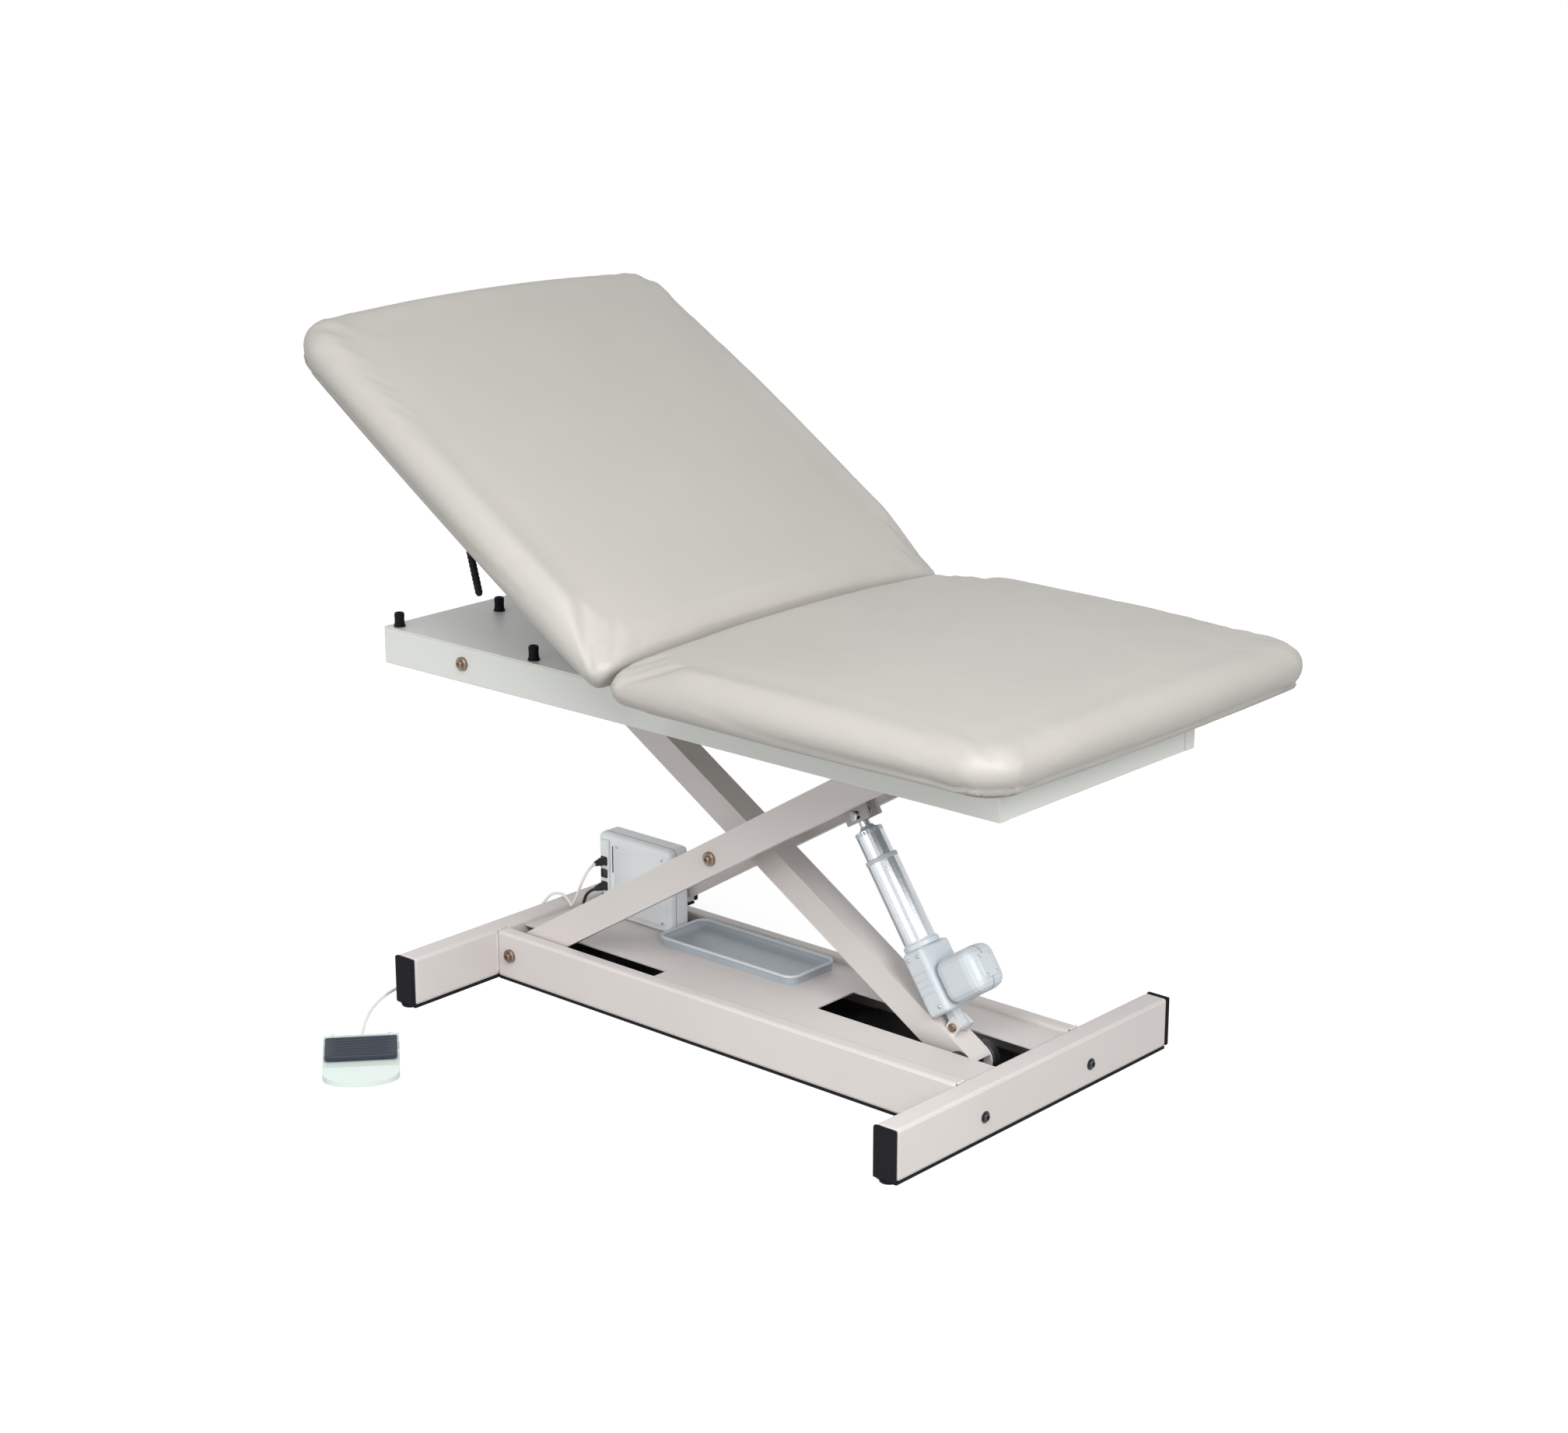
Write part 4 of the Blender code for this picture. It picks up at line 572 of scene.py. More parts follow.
class TABLE_OT_pads(bpy.types.Operator):
    """Foam pads in vinyl, swollen as cloth over their foam"""

    bl_idname = "table.pads"
    bl_label = "Pads"

    def execute(self, context):
        for place, reach, sign, body in (("seat", SEAT_REACH, 1, "top_frame"), ("back", BACK_REACH, -1, "backrest")):
            self.pad(context, place, reach, sign, body)
        return {"FINISHED"}

    def pad(self, context, place, reach, sign, body):
        """One pad, shaped and swollen as if flat on its board, then set at its body's rest angle."""
        sizes = context.scene.table_sizes
        points, faces = self.shape(sizes, reach)
        points[:, 0] = CREASE.x + sign * points[:, 0]
        if sign < 0:
            faces = [face[::-1] for face in faces]
        points, faces = self.swell(context, place, points, faces, sizes)
        points = self.clear_hinges(points, sign)
        if sign < 0:
            points = backrest_place(points)
        made = place_mesh(f"{place}_pad_vinyl", points, faces, body, "vinyl", 180.0)
        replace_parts(made, f"{place}_pad")

    @staticmethod
    def shape(sizes, reach):
        """Two grids of parameters, top and bottom, that share their edge.

        The outline is a rectangle with wide rounds at the free corners, and its free sides bow out. From it the
        cover rises on a quarter ellipse, as over a foam edge, and falls on another to the board. The top is
        crowned, half as much at the middle of a side as in the middle of the pad, with a soft ridge along the
        foam's edge. At the crease it is domed across its width and falls on a quarter ellipse to the hinge,
        under a plane through the hinge that leaves room for the other pad when the backrest is fully up.
        """
        inset = sizes.pad_inset
        half_x, half_y = (reach - PAD_SETBACK) / 2 - inset, PAD_HALF_WIDTH - inset
        u, v = np.meshgrid(np.linspace(-1, 1, GRID), np.linspace(-1, 1, GRID), indexing="ij")
        x, y = half_x * np.sin(pi / 2 * u), half_y * np.sin(pi / 2 * v)
        corner = np.where(u > 0, FREE_CORNER, CREASE_CORNER)
        over_x, over_y = np.abs(x) - (half_x - corner), np.abs(y) - (half_y - corner)
        both = (over_x > 0) & (over_y > 0)
        a, b = np.clip(over_x / corner, 0, 1), np.clip(over_y / corner, 0, 1)
        x = np.where(both, np.sign(x) * (half_x - corner + corner * a * np.sqrt(1 - b * b / 2)), x)
        y = np.where(both, np.sign(y) * (half_y - corner + corner * b * np.sqrt(1 - a * a / 2)), y)
        along, across = x / half_x, y / half_y
        crease = x + half_x
        over_x, over_y = np.abs(x) - (half_x - corner), np.abs(y) - (half_y - corner)
        both = (over_x > 0) & (over_y > 0)
        straight = np.where(u > 0, np.maximum(over_x, over_y), over_y)
        depth = np.maximum(corner - np.where(both, np.hypot(over_x, over_y), straight), 0)

        def quarter(distance, width):
            return np.sqrt(np.maximum(0, 1 - (1 - np.clip(distance / width, 0, 1)) ** 2))

        fade = np.clip(crease / CREASE_FADE, 0, 1)
        fade = fade * fade * (3 - 2 * fade)
        dome = sizes.crease_dome * (1 - across**2)
        crown = sizes.pad_crown * (1 - (np.maximum(along, 0) ** 2 + across**2) / 2) * fade + dome * (1 - fade)
        ridge = 0.0030 * np.exp(-(((depth - EDGE_WIDTH) / 0.013) ** 2))
        ridge -= 0.0026 * np.exp(-(((depth - 0.085) / 0.030) ** 2))
        edge_round = quarter(depth, EDGE_WIDTH + (CREASE_EDGE_WIDTH - EDGE_WIDTH) * (1 - fade))
        top_z = PAD_MIDDLE + (PAD_RISE - inset + crown + ridge * fade) * edge_round
        top_z -= (0.019 + dome) * (1 - quarter(crease, 0.018 + 0.8 * dome)) * edge_round
        top_z = np.minimum(top_z, CREASE.z + crease * tan(sizes.crease_slope))
        low_z = PAD_MIDDLE + (PAD_LOW - PAD_MIDDLE + inset / 4) * quarter(depth, EDGE_WIDTH)
        low_z += (top_z - low_z) * (1 - quarter(crease, 0.008))
        x = x + sizes.pad_bow * np.maximum(along, 0) ** 2 * (1 - across**2)
        y = y + sizes.pad_bow * across * (1 - along**2)
        edge = np.zeros_like(u, bool)
        edge[[0, -1]] = edge[:, [0, -1]] = True
        x = x + (reach + PAD_SETBACK) / 2
        top = np.stack([x, y, top_z], -1).reshape(-1, 3)
        bottom = np.stack([x, y, low_z], -1).reshape(-1, 3)
        index = np.arange(u.size).reshape(u.shape)
        low_index = np.where(edge, index, index + u.size)
        quads = [
            np.stack([i[:-1, :-1], i[1:, :-1], i[1:, 1:], i[:-1, 1:]], -1).reshape(-1, 4) for i in (index, low_index)
        ]
        faces = np.concatenate([quads[0], quads[1][:, ::-1]])
        points = np.concatenate([top, bottom])
        used, faces = np.unique(faces, return_inverse=True)
        return points[used], faces.reshape(-1, 4).tolist()

    @staticmethod
    def swell(context, place, points, faces, sizes):
        """The pad's surface as cloth under a light pressure, held where it lies on the board."""
        mesh = bpy.data.meshes.new(place + "_cloth")
        mesh.from_pydata(points.tolist(), [], faces)
        cover = bpy.data.objects.new(place + "_cloth", mesh)
        context.scene.collection.objects.link(cover)
        even = cover.modifiers.new("even", "REMESH")
        even.mode = "VOXEL"
        even.voxel_size = sizes.cloth_step
        ease = cover.modifiers.new("ease", "SMOOTH")
        ease.factor, ease.iterations = 0.5, 4
        graph = context.evaluated_depsgraph_get()
        fine = bpy.data.meshes.new_from_object(cover.evaluated_get(graph))
        cover.modifiers.clear()
        cover.data = fine
        start = np.empty(len(fine.vertices) * 3)
        fine.vertices.foreach_get("co", start)
        start = start.reshape(-1, 3)
        low = start[:, 2].min()
        held = cover.vertex_groups.new(name="held")
        on_board, by_crease = 0.006, 0.030
        kept = (start[:, 2] < low + on_board) | (np.abs(start[:, 0] - CREASE.x) < by_crease)
        held.add(np.flatnonzero(kept).tolist(), 1.0, "REPLACE")
        cloth = cover.modifiers.new("cover", "CLOTH")
        cloth.settings.quality = 4
        cloth.settings.mass = 0.3
        cloth.settings.tension_stiffness = cloth.settings.compression_stiffness = 12
        cloth.settings.bending_stiffness = 1.5
        cloth.settings.use_pressure = True
        cloth.settings.uniform_pressure_force = 4
        cloth.settings.vertex_group_mass = "held"
        cloth.settings.effector_weights.gravity = 0
        cloth.collision_settings.use_collision = False
        last = 16
        cloth.point_cache.frame_start, cloth.point_cache.frame_end = 1, last
        for number in range(1, last + 1):
            context.scene.frame_set(number)
        swollen = bpy.data.meshes.new_from_object(cover.evaluated_get(context.evaluated_depsgraph_get()))
        end = np.empty(len(swollen.vertices) * 3)
        swollen.vertices.foreach_get("co", end)
        move = end.reshape(-1, 3) - start
        size = np.linalg.norm(move, axis=1)[:, None]
        move *= np.minimum(1, sizes.pad_swell / np.maximum(size, 1e-9))
        result = start + move
        result[:, 2] = np.maximum(result[:, 2], PAD_LOW)
        faces = [list(face.vertices) for face in fine.polygons]
        bpy.data.objects.remove(cover)
        context.scene.frame_set(1)
        return result, faces

    @staticmethod
    def clear_hinges(points, sign):
        """Keeps the crease side short of the hinge plane, and dips it round the two hinge ears."""
        reach = sign * (points[:, 0] - CREASE.x)
        half_width, blend, radius, depth = 0.0115, 0.003, 0.0106, 0.0110
        near = np.clip((half_width - np.abs(np.abs(points[:, 1]) - HINGE_Y)) / blend, 0, 1)
        above = np.maximum(points[:, 2] - CREASE.z, 0) / radius
        least = PAD_SETBACK + depth * near * np.sqrt(np.maximum(0, 1 - above**2))
        points = points.copy()
        points[:, 0] = CREASE.x + sign * np.maximum(reach, least)
        return points


class TABLE_OT_covers(bpy.types.Operator):
    """Boards under the pads, the cover's margin folded round each board, and its staples"""

    bl_idname = "table.covers"
    bl_label = "Covers"

    def execute(self, context):
        for place, middle, half, body in (("seat", 1.123, 0.4225, "top_frame"), ("back", 0.1505, 0.480, "backrest")):
            settle = backrest_place if place == "back" else np.asarray
            place_of = (middle, 0, 0), (half, BOARD_HALF_WIDTH), BOARD_CORNER
            board = slab(*place_of, [(0.001, 0.788), (0, 0.789), (0, 0.799), (0.001, 0.800)])
            plate = joined(f"{place}_board_panel", [settle(board)], body, "board")
            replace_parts(plate, f"{place}_board")
            fold = [
                (0.045, 0.7872), (0.004, 0.7868), (-0.001, 0.7872), (-0.0024, 0.7884), (-0.0028, 0.7898), (0, 0.7910),
                (0.006, 0.7906), (0.044, 0.7886),
            ]
            margin = slab(*place_of, fold, count=96)
            joined(f"{place}_cover_margin", [settle(margin)], body, "vinyl", 60.0, wrap=True)
            joined(f"{place}_cover_staples", [settle(s) for s in self.staples(middle, half)], body, "zinc")
        return {"FINISHED"}

    @staticmethod
    def staples(middle, half):
        """Short round wires about 30 mm apart, on a rectangle 37 mm inside the board's edge."""
        found = []
        for along, across, turned_row in ((half - 0.075, 0.436, False), (0.398, half - 0.037, True)):
            for place in np.linspace(-along, along, int(2 * along / 0.030)):
                for sign in (-1, 1):
                    x, y = (sign * across, place) if turned_row else (place, sign * across)
                    reach = np.array([0, 0.0055, 0] if turned_row else [0.0055, 0, 0])
                    centre = np.array([middle + x, y, 0.7869])
                    found.append(tube([centre - reach, centre, centre + reach], 0.0007, 6))
        return found


class TABLE_OT_fixings(bpy.types.Operator):
    """Cap screws on the pivots and the cross bars, screws in the hinge leaves, and the rubber bumpers"""

    bl_idname = "table.fixings"
    bl_label = "Fixings"

    def execute(self, context):
        size = context.scene.table_sizes.bolt_radius
        leaf_low, plate_top, bolt_y, bolt_z = 0.7828, 0.7583, 0.166, 0.049
        scissor, top = (np.array(JOINTS[name]["pos_m"]) for name in ("scissor", "frame_level"))
        base = np.array(JOINTS["lift"]["pos_m"])
        for name, centre, reach, body in (
            ("base_pivot_screws", base, 0.1982, "base"), ("scissor_pivot_screws", scissor, 0.1602, "outer_legs"),
            ("top_pivot_screws", top, 0.3072, "top_frame"),
        ):
            heads = [cap_screw(centre + [0, s * reach, 0], (0, s, 0), size) for s in SIDES]
            joined(name, heads, body, "yellow_zinc")
        for name, x, facing in (("foot_bar_screws", 1.3063, 1), ("head_bar_screws", -0.0253, -1)):
            heads = [cap_screw((x, s * bolt_y, bolt_z), (facing, 0, 0), size) for s in SIDES]
            joined(name, heads, "base", "black_paint")
        for place, y, leaf, settle, body in (
            ("seat", 0.1845, (0.702, 0.746, 0.790), np.asarray, "top_frame"),
            ("back", 0.2115, (0.629, 0.585, 0.541), backrest_place, "backrest"),
        ):
            heads = [settle(pan_screw((x, s * y, leaf_low), (0, 0, -1), 0.0042)) for x in leaf for s in SIDES]
            joined(place + "_hinge_screws", heads, body, "zinc")
        profile = [
            (0.0122, 0), (0.0122, 0.0026), (0.0106, 0.0042), (0.0099, 0.0150), (0.0105, 0.0230), (0.0101, 0.0275),
            (0.0086, 0.0293), (0.0050, 0.0293), (0.0044, 0.0260),
        ]
        places = {
            "bumper_hinge_left": (0.2515, -0.28), "bumper_hinge_right": (0.2515, 0.28),
            "bumper_head_left": (-0.1445, -0.28), "bumper_head_right": (-0.1445, 0.28),
            "bumper_middle": (-0.0845, -0.055),
        }
        for node, (x, y) in places.items():
            shape = turned(profile, (x, y, plate_top), (0, 0, 1), 28)
            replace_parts(joined(node + "_rubber", [shape], "top_frame", "rubber"), node)
        return {"FINISHED"}


class TABLE_OT_welds(bpy.types.Operator):
    """Weld beads where the rails, the lift tube and the clevis meet their neighbours"""

    bl_idname = "table.welds"
    bl_label = "Welds"

    def execute(self, context):
        size = context.scene.table_sizes.weld_radius
        beads, rail_y, rail_top = [], 0.191, 0.1079
        for s in SIDES:
            for x in (0.0257, 1.2553):
                beads.append(weld((x, s * rail_y, 0.012), (x, s * rail_y, 0.102), size))
                beads.append(weld((x, s * 0.164, rail_top), (x, s * 0.187, rail_top), size))
        joined("rail_welds", beads, "base", "base_paint", 60.0)
        turn = np.linspace(0, 2 * pi, 90)
        pivot, along, radius = JOINTS["lift"]["pos_m"], 0.9103, 0.0208
        middle = np.array([pivot[0] + along * cos(LEG_ANGLE), 0, pivot[2] + along * sin(LEG_ANGLE)])
        rings = []
        for s in SIDES:
            loop = middle + np.stack([radius * np.cos(turn), 0 * turn + s * 0.1160, radius * np.sin(turn)], -1)
            rings.append(tube(loop, size * (1 + 0.14 * np.sin(40 * turn)), 8))
        joined("lift_tube_welds", rings, "outer_legs", "base_paint", 60.0)
        scissor = np.array(JOINTS["scissor"]["pos_m"])
        along = np.array([cos(LEG_ANGLE), 0, -sin(LEG_ANGLE)])
        above = np.array([sin(LEG_ANGLE), 0, cos(LEG_ANGLE)])
        foot = scissor + along * ((ACTUATOR_PIN - scissor) @ along) + above * 0.0302
        cheeks = [foot + [0, s * 0.0210, 0] for s in SIDES]
        beads = [weld(cheek - 0.013 * along, cheek + 0.013 * along, size * 0.8) for cheek in cheeks]
        joined("clevis_welds", beads, "inner_leg", "base_paint", 60.0)
        return {"FINISHED"}


class TABLE_OT_base_trim(bpy.types.Operator):
    """Rubber strips under the rails, feet, a black sheet under the deck that paints the shade seen through its
    openings, and closing plates on the frame's sides
    """

    bl_idname = "table.base_trim"
    bl_label = "Base trim"

    def execute(self, context):
        strip = [(0.0012, 0), (0, 0.0012), (0, 0.0064)]
        strips = [slab((0.6405, s * 0.175, 0), (0.6140, 0.0138), 0.002, strip) for s in SIDES]
        joined("rail_strips", strips, "base", "rubber")
        foot = [(0.0165, 0), (0.0180, 0.0014), (0.0180, 0.0064)]
        feet = [turned(foot, (x, s * 0.4150, 0), (0, 0, 1), 28) for x in (0, 1.281) for s in SIDES]
        joined("bar_feet", feet, "base", "rubber")
        # Painted shade: a black sheet under the deck, so that the floor seen through the deck's openings looks dark as
        # if in shade.
        sheet = [(0.0005, 0.0222), (0, 0.0226), (0, 0.0242), (0.0005, 0.0246)]
        painted_shade_sheet = slab((0.402, 0, 0), (0.3755, 0.1580), 0.003, sheet)
        joined("deck_painted_shade", [painted_shade_sheet], "base", "black_paint")
        ends = []
        for x, facing in ((1.4253, 1), (-0.1693, -1)):
            for s in SIDES:
                ends.append(slab(
                    (x, s * 0.2849, 0.7173), (0.0148, 0.0370), 0.003, [(0, -0.004), (0, 0.0001), (0.0008, 0.0008)],
                    ((0, 1, 0), (0, 0, 1), (facing, 0, 0)),
                ))
        joined("frame_closing_plates", ends, "top_frame", "frame_paint")
        return {"FINISHED"}


class TABLE_OT_actuator(bpy.types.Operator):
    """Seams, screws, collar, wiper and pins of the lift actuator"""

    bl_idname = "table.actuator"
    bl_label = "Lift actuator"

    def execute(self, context):
        across = (0, 1, 0)
        seam = slab(
            on_actuator(MOTOR_ALONG, 0, 0.0823), (0.0460, 0.0500), 0.024, SEAM,
            (ACTUATOR_AXIS, ACTUATOR_BULGE, across), 64,
        )
        joined("motor_cover_seam", [seam], "actuator_body", "seam_grey")
        cap = slab(
            on_actuator(MOTOR_ALONG, 0, 0.1323), (0.0240, 0.0210), 0.008, [(0, -0.002), (0, 0.0012), (0.0014, 0.0024)],
            (ACTUATOR_AXIS, across, ACTUATOR_BULGE),
        )
        joined("motor_cover_cap", [cap], "actuator_body", "actuator_abs")
        heads = [
            pan_screw(on_actuator(MOTOR_ALONG + a, y, 0.1346), ACTUATOR_BULGE, 0.0028)
            for a in (-0.0175, 0.0175) for y in (-0.0145, 0.0145)
        ]
        heads += [
            pan_screw(on_actuator(a, s * 0.0439, c), (0, s, 0), 0.0036)
            for a, c in ((0.046, 0.014), (0.150, 0.018), (0.150, -0.010)) for s in SIDES
        ]
        joined("actuator_screws", heads, "actuator_body", "zinc")
        rib = [(0, -0.001), (0, 0.0010), (0.0006, 0.0016)]
        ribs = [
            slab(on_actuator(a, s * 0.0438, 0.004), (0.0016, 0.0185), 0.0015, rib,
                 (ACTUATOR_AXIS, ACTUATOR_BULGE, (0, s, 0)), 32)
            for a in (0.078, 0.092, 0.106, 0.120) for s in SIDES
        ]
        joined("gearbox_ribs", ribs, "actuator_body", "actuator_abs")
        collar = [
            (0.0350, 0.1640), (0.0368, 0.1656), (0.0368, 0.1740), (0.0350, 0.1756), (0.0331, 0.1760), (0.0327, 0.1790),
            (0.0323, 0.1800),
        ]
        wiper = [
            (0.0323, 0.3470), (0.0332, 0.3480), (0.0332, 0.3546), (0.0323, 0.3562), (0.0300, 0.3568), (0.0289, 0.3566),
            (0.0288, 0.3554), (0.0296, 0.3540), (0.0305, 0.3480),
        ]
        crown = [
            (0.0280, 0.4040), (0.0284, 0.4050), (0.0284, 0.4125), (0.0272, 0.4142), (0.0200, 0.4150), (0.0150, 0.4180),
            (0.0128, 0.4225),
        ]
        for name, profile, body, wrap in (
            ("tube_collar", collar, "actuator_body", False), ("tube_wiper", wiper, "actuator_body", True),
            ("rod_end_cap", crown, "actuator_rod", False),
        ):
            joined(name, [turned(profile, ACTUATOR_PIN, ACTUATOR_AXIS, 40)], body, "actuator_abs", wrap=wrap)
        bush = [(0.0086, -0.0012), (0.0086, 0.0018), (0.0072, 0.0030), (0.0040, 0.0030), (0.0034, 0.0016)]
        clip = [(0.0096, -0.0014), (0.0096, 0.0002), (0.0078, 0.0004), (0.0066, 0.0014)]
        for name, along, profile, body, kind in (
            ("lower_pin_ends", 0.0, bush, "inner_leg", "yellow_zinc"),
            ("upper_pin_ends", 0.44934, clip, "actuator_rod", "zinc"),
        ):
            ends = [turned(profile, on_actuator(along, s * 0.0225, 0), (0, s, 0), 24) for s in SIDES]
            joined(name, ends, body, kind)
        return {"FINISHED"}


class TABLE_OT_control_box(bpy.types.Operator):
    """Lid, seam, screws and sockets of the control box, and the tray's rolled rim"""

    bl_idname = "table.control_box"
    bl_label = "Control box"

    def execute(self, context):
        facing = ((1, 0, 0), (0, 0, 1), (0, -1, 0))
        middle_z = 0.1908
        seam = slab((0.2005, 0.0640, middle_z), (0.1050, 0.0925), 0.011, SEAM, facing, 64)
        joined("control_box_seam", [seam], "base", "seam_grey")
        raised = [(0, -0.001), (0, 0.0010), (0.0012, 0.0020)]
        lid = slab((0.2190, 0.0450, middle_z), (0.0745, 0.0790), 0.012, raised, facing, 64)
        joined("control_box_lid", [lid], "base", "box_abs")
        heads = [
            pan_screw((0.2190 + x, 0.0431, middle_z + z), (0, -1, 0), 0.0032)
            for x in (-0.066, 0.066) for z in (-0.070, 0.070)
        ]
        joined("control_box_screws", heads, "base", "zinc")
        strip = [(0, -0.001), (0, 0.0006), (0.0004, 0.0008)]
        groove = slab((0.1390, 0.0450, 0.2300), (0.0013, 0.0300), 0.0012, strip, facing, 32)
        joined("control_box_vent", [groove], "base", "socket_abs")
        rim = [(0, -0.001), (0, 0.0014), (0.0010, 0.0020), (0.0024, 0.0020), (0.0030, 0.0004)]
        sockets = [
            slab((SOCKET_X, 0.0387, BOX_FOOT + z), (0.0092, 0.0098), 0.0028, rim, facing) for z in SOCKET_HEIGHTS
        ]
        joined("control_box_socket_rims", sockets, "base", "socket_abs")
        # The rolled rim is real, but its lighter tone than the tray's enamel is a painted highlight along it.
        loop = rounded_loop(0.1863, 0.0693, 0.0233, 96)
        rim = np.column_stack([0.5030 + loop[:, 0], 0.0640 + loop[:, 1], np.full(len(loop), 0.1153)])
        rim = np.concatenate([rim, rim[:2]])
        joined("deck_tray_rim", [tube(rim, 0.0032, 12)], "base", "tray_rim_highlight")
        return {"FINISHED"}


class TABLE_OT_pedal(bpy.types.Operator):
    """Tread ribs on the foot pedal's rocker, and screws in its hood"""

    bl_idname = "table.pedal"
    bl_label = "Foot pedal"

    def execute(self, context):
        back, side, middle = PEDAL_BACK, PEDAL_SIDE, PEDAL_MIDDLE
        ribs = []
        for x in np.linspace(-0.029, 0.051, 7):
            y = np.linspace(-0.062, 0.062, 9)
            round_end = 0.0017 * np.sqrt(np.clip(1.02 - (np.abs(y) / 0.062) ** 12, 0.05, 1))
            ribs.append(tube(middle + x * back + y[:, None] * side + [0, 0, 0.0334], round_end, 8))
        joined("pedal_tread", ribs, "pedal_rocker", "rocker_abs", 60.0)
        hood = middle + 0.0685 * back + [0, 0, 0.0339]
        heads = [pan_screw(hood + s * 0.056 * side, (0, 0, 1), 0.0026) for s in SIDES]
        joined("pedal_hood_screws", heads, "base", "zinc")
        return {"FINISHED"}


class TABLE_OT_rollers(bpy.types.Operator):
    """Hub caps on the rollers of the scissor legs"""

    bl_idname = "table.rollers"
    bl_label = "Roller hubs"

    def execute(self, context):
        hub = [(0.0145, -0.0010), (0.0145, 0.0008), (0.0128, 0.0018), (0.0066, 0.0018), (0.0060, 0.0008)]
        for body, reach in (("upper_rollers", 0.1745), ("lower_rollers", 0.0515)):
            low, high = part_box(body)
            centre = (np.array(low) + np.array(high)) / 2
            ends = [turned(hub, centre + [0, s * reach, 0], (0, s, 0), 28, lobes=(3, 4)) for s in SIDES]
            joined(body + "_hubs", ends, body, "nylon")
        return {"FINISHED"}


class TABLE_OT_release(bpy.types.Operator):
    """Release lever under the backrest's near edge: a bent rod with a rubber grip, on a small plate"""

    bl_idname = "table.release"
    bl_label = "Release lever"

    def execute(self, context):
        start, end = np.array([0.2100, -0.446, 0.7790]), np.array([0.3010, -0.446, 0.7000])
        reach = end - start
        rod = [start + [-0.030, 0.006, 0.003], start + [-0.014, 0.003, 0.002]]
        rod += [start + part * reach for part in (0, 0.12, 0.24, 0.4)]
        plate = slab((0.1880, -0.4400, 0.7868), (0.024, 0.013), 0.004, [(0, 0.0004), (0, -0.0018), (0.0006, -0.0024)])
        steel = [tube(rod, 0.0036, 14), plate]
        joined("release_rod", [backrest_place(s) for s in steel], "backrest", "zinc")
        t = np.linspace(0.20, 1.0, 40)
        grip = 0.0072 + 0.0005 * np.sin(2 * pi * (t - 0.2) * 14)
        grip *= np.sqrt(np.clip(1 - ((t - 0.6) / 0.405) ** 16, 0.06, 1))
        joined("release_grip", [backrest_place(tube(start + t[:, None] * reach, grip, 20))], "backrest", "rubber", 60.0)
        return {"FINISHED"}


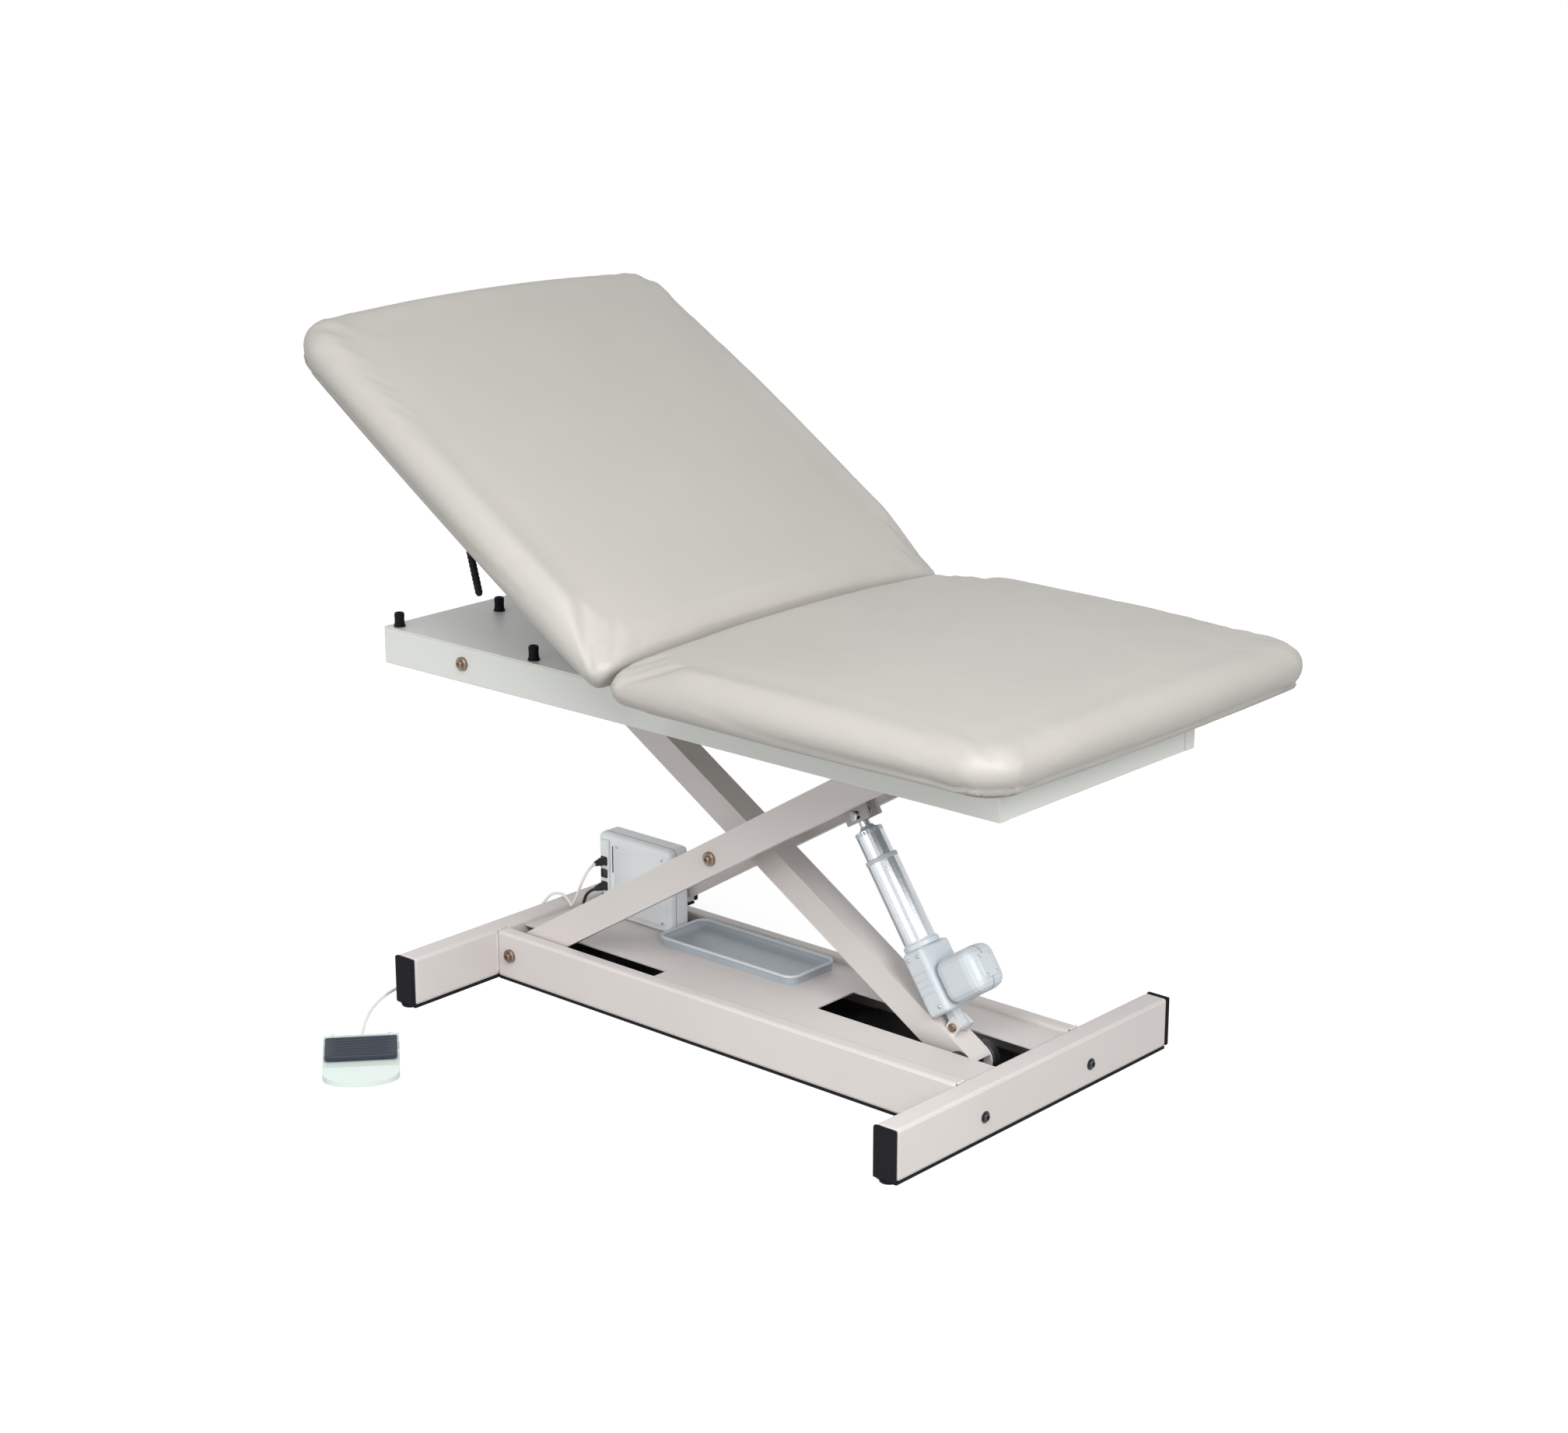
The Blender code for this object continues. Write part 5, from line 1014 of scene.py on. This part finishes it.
class TABLE_OT_stage(bpy.types.Operator):
    """White floor, soft boxes and the camera"""

    bl_idname = "table.stage"
    bl_label = "Stage"

    def execute(self, context):
        settings = context.scene.table_stage
        scene = context.scene
        scene.view_settings.view_transform = "Standard"
        self.floor(scene)
        self.world(scene, settings)
        for name, power, place, size in (
            ("key_light", settings.key_power, (1.9, -2.2, 3.0), 2.0),
            ("fill_light", settings.fill_power, (5.0, -1.7, 3.0), 2.4),
            ("side_light", settings.side_power, (0.0, -5.0, 1.2), 2.4),
        ):
            data = bpy.data.lights.new(name, "AREA")
            data.energy, data.shape, data.size = power, "DISK", size
            lamp = bpy.data.objects.new(name, data)
            lamp.location = place
            lamp.rotation_euler = (Vector((0.6, 0, 0.7)) - Vector(place)).to_track_quat("-Z", "Y").to_euler()
            scene.collection.objects.link(lamp)
        data = bpy.data.cameras.new("camera")
        data.lens, data.sensor_width = settings.lens, 36.0
        camera = bpy.data.objects.new("camera", data)
        turn, rise = settings.azimuth, settings.elevation
        back = Vector((sin(turn) * cos(rise), -cos(turn) * cos(rise), sin(rise)))
        camera.location = Vector(settings.target) + settings.distance * back
        camera.rotation_euler = (-back).to_track_quat("-Z", "Y").to_euler()
        scene.collection.objects.link(camera)
        scene.camera = camera
        return {"FINISHED"}

    @staticmethod
    def shown(tree):
        """One where a ray comes from the camera, a reflection or clear glass."""
        rays = add(tree, "ShaderNodeLightPath")
        found = rays.outputs["Is Camera Ray"]
        for kind in ("Is Glossy Ray", "Is Transmission Ray"):
            links = {0: found, 1: rays.outputs[kind]}
            found = add(tree, "ShaderNodeMath", operation="MAXIMUM", links=links).outputs[0]
        return found

    def floor(self, scene):
        """White card: it scatters light and holds the table's shadow, and adds what it lacks of white to the view."""
        side, height = 40.0, -0.0004
        corners = [(x * side, y * side, height) for x, y in ((-1, -1), (1, -1), (1, 1), (-1, 1))]
        mesh = bpy.data.meshes.new("floor")
        mesh.from_pydata(corners, [], [(0, 1, 2, 3)])
        floor = bpy.data.objects.new("floor", mesh)
        scene.collection.objects.link(floor)
        card = bpy.data.materials.new("white_card")
        card.use_nodes = True
        tree = card.node_tree
        tree.nodes.clear()
        scatter = add(tree, "ShaderNodeBsdfDiffuse", {"Color": (0.30, 0.30, 0.30, 1)})
        glow = add(tree, "ShaderNodeEmission", {"Color": (1, 1, 1, 1)})
        part = add(tree, "ShaderNodeMath", {1: 0.85}, {0: self.shown(tree)}, operation="MULTIPLY")
        tree.links.new(part.outputs[0], glow.inputs["Strength"])
        both = add(tree, "ShaderNodeAddShader", links={0: scatter.outputs[0], 1: glow.outputs[0]})
        add(tree, "ShaderNodeOutputMaterial", links={"Surface": both.outputs[0]})
        mesh.materials.append(card)

    def world(self, scene, settings):
        """A white room: plain white where it is seen, and dimmer as a light."""
        world = bpy.data.worlds.new("white_room")
        world.use_nodes = True
        scene.world = world
        tree = world.node_tree
        room = tree.nodes["Background"]
        room.inputs["Color"].default_value = (1, 1, 1, 1)
        ends = {"To Min": settings.world_light, "To Max": 1.0}
        level = add(tree, "ShaderNodeMapRange", ends, {"Value": self.shown(tree)})
        tree.links.new(level.outputs["Result"], room.inputs["Strength"])


class TABLE_PT_panel(bpy.types.Panel):
    """The table's operators, sizes and colours"""

    bl_label = "Treatment table"
    bl_idname = "TABLE_PT_panel"
    bl_space_type = "VIEW_3D"
    bl_region_type = "UI"
    bl_category = "Treatment table"

    def draw(self, context):
        for operator in OPERATORS:
            self.layout.operator(operator.bl_idname)
        for group in (context.scene.table_finishes, context.scene.table_sizes, context.scene.table_stage):
            column = self.layout.column(align=True)
            for key in group.__annotations__:
                column.prop(group, key)


GROUPS = (("table_finishes", TableFinishes), ("table_sizes", TableSizes), ("table_stage", StageSettings))
OPERATORS = (
    TABLE_OT_stage, TABLE_OT_cords, TABLE_OT_finishes, TABLE_OT_pads, TABLE_OT_covers, TABLE_OT_fixings, TABLE_OT_welds,
    TABLE_OT_base_trim, TABLE_OT_actuator, TABLE_OT_control_box, TABLE_OT_pedal, TABLE_OT_rollers, TABLE_OT_release,
)


def register():
    for name, group in GROUPS:
        bpy.utils.register_class(group)
        setattr(bpy.types.Scene, name, PointerProperty(type=group))
    for operator in (*OPERATORS, TABLE_PT_panel):
        bpy.utils.register_class(operator)


def unregister():
    for operator in reversed((*OPERATORS, TABLE_PT_panel)):
        bpy.utils.unregister_class(operator)
    for name, group in reversed(GROUPS):
        delattr(bpy.types.Scene, name)
        bpy.utils.unregister_class(group)


def main():
    for old in list(bpy.data.objects):
        if old.name in ("Cube", "Light", "Camera"):
            bpy.data.objects.remove(old)
    register()
    bpy.ops.table.stage()
    bpy.ops.table.cords()
    bpy.ops.table.finishes()
    bpy.ops.table.pads()
    bpy.ops.table.covers()
    bpy.ops.table.fixings()
    bpy.ops.table.welds()
    bpy.ops.table.base_trim()
    bpy.ops.table.actuator()
    bpy.ops.table.control_box()
    bpy.ops.table.pedal()
    bpy.ops.table.rollers()
    bpy.ops.table.release()
    bpy.context.view_layer.update()


if __name__ == "__main__":
    main()
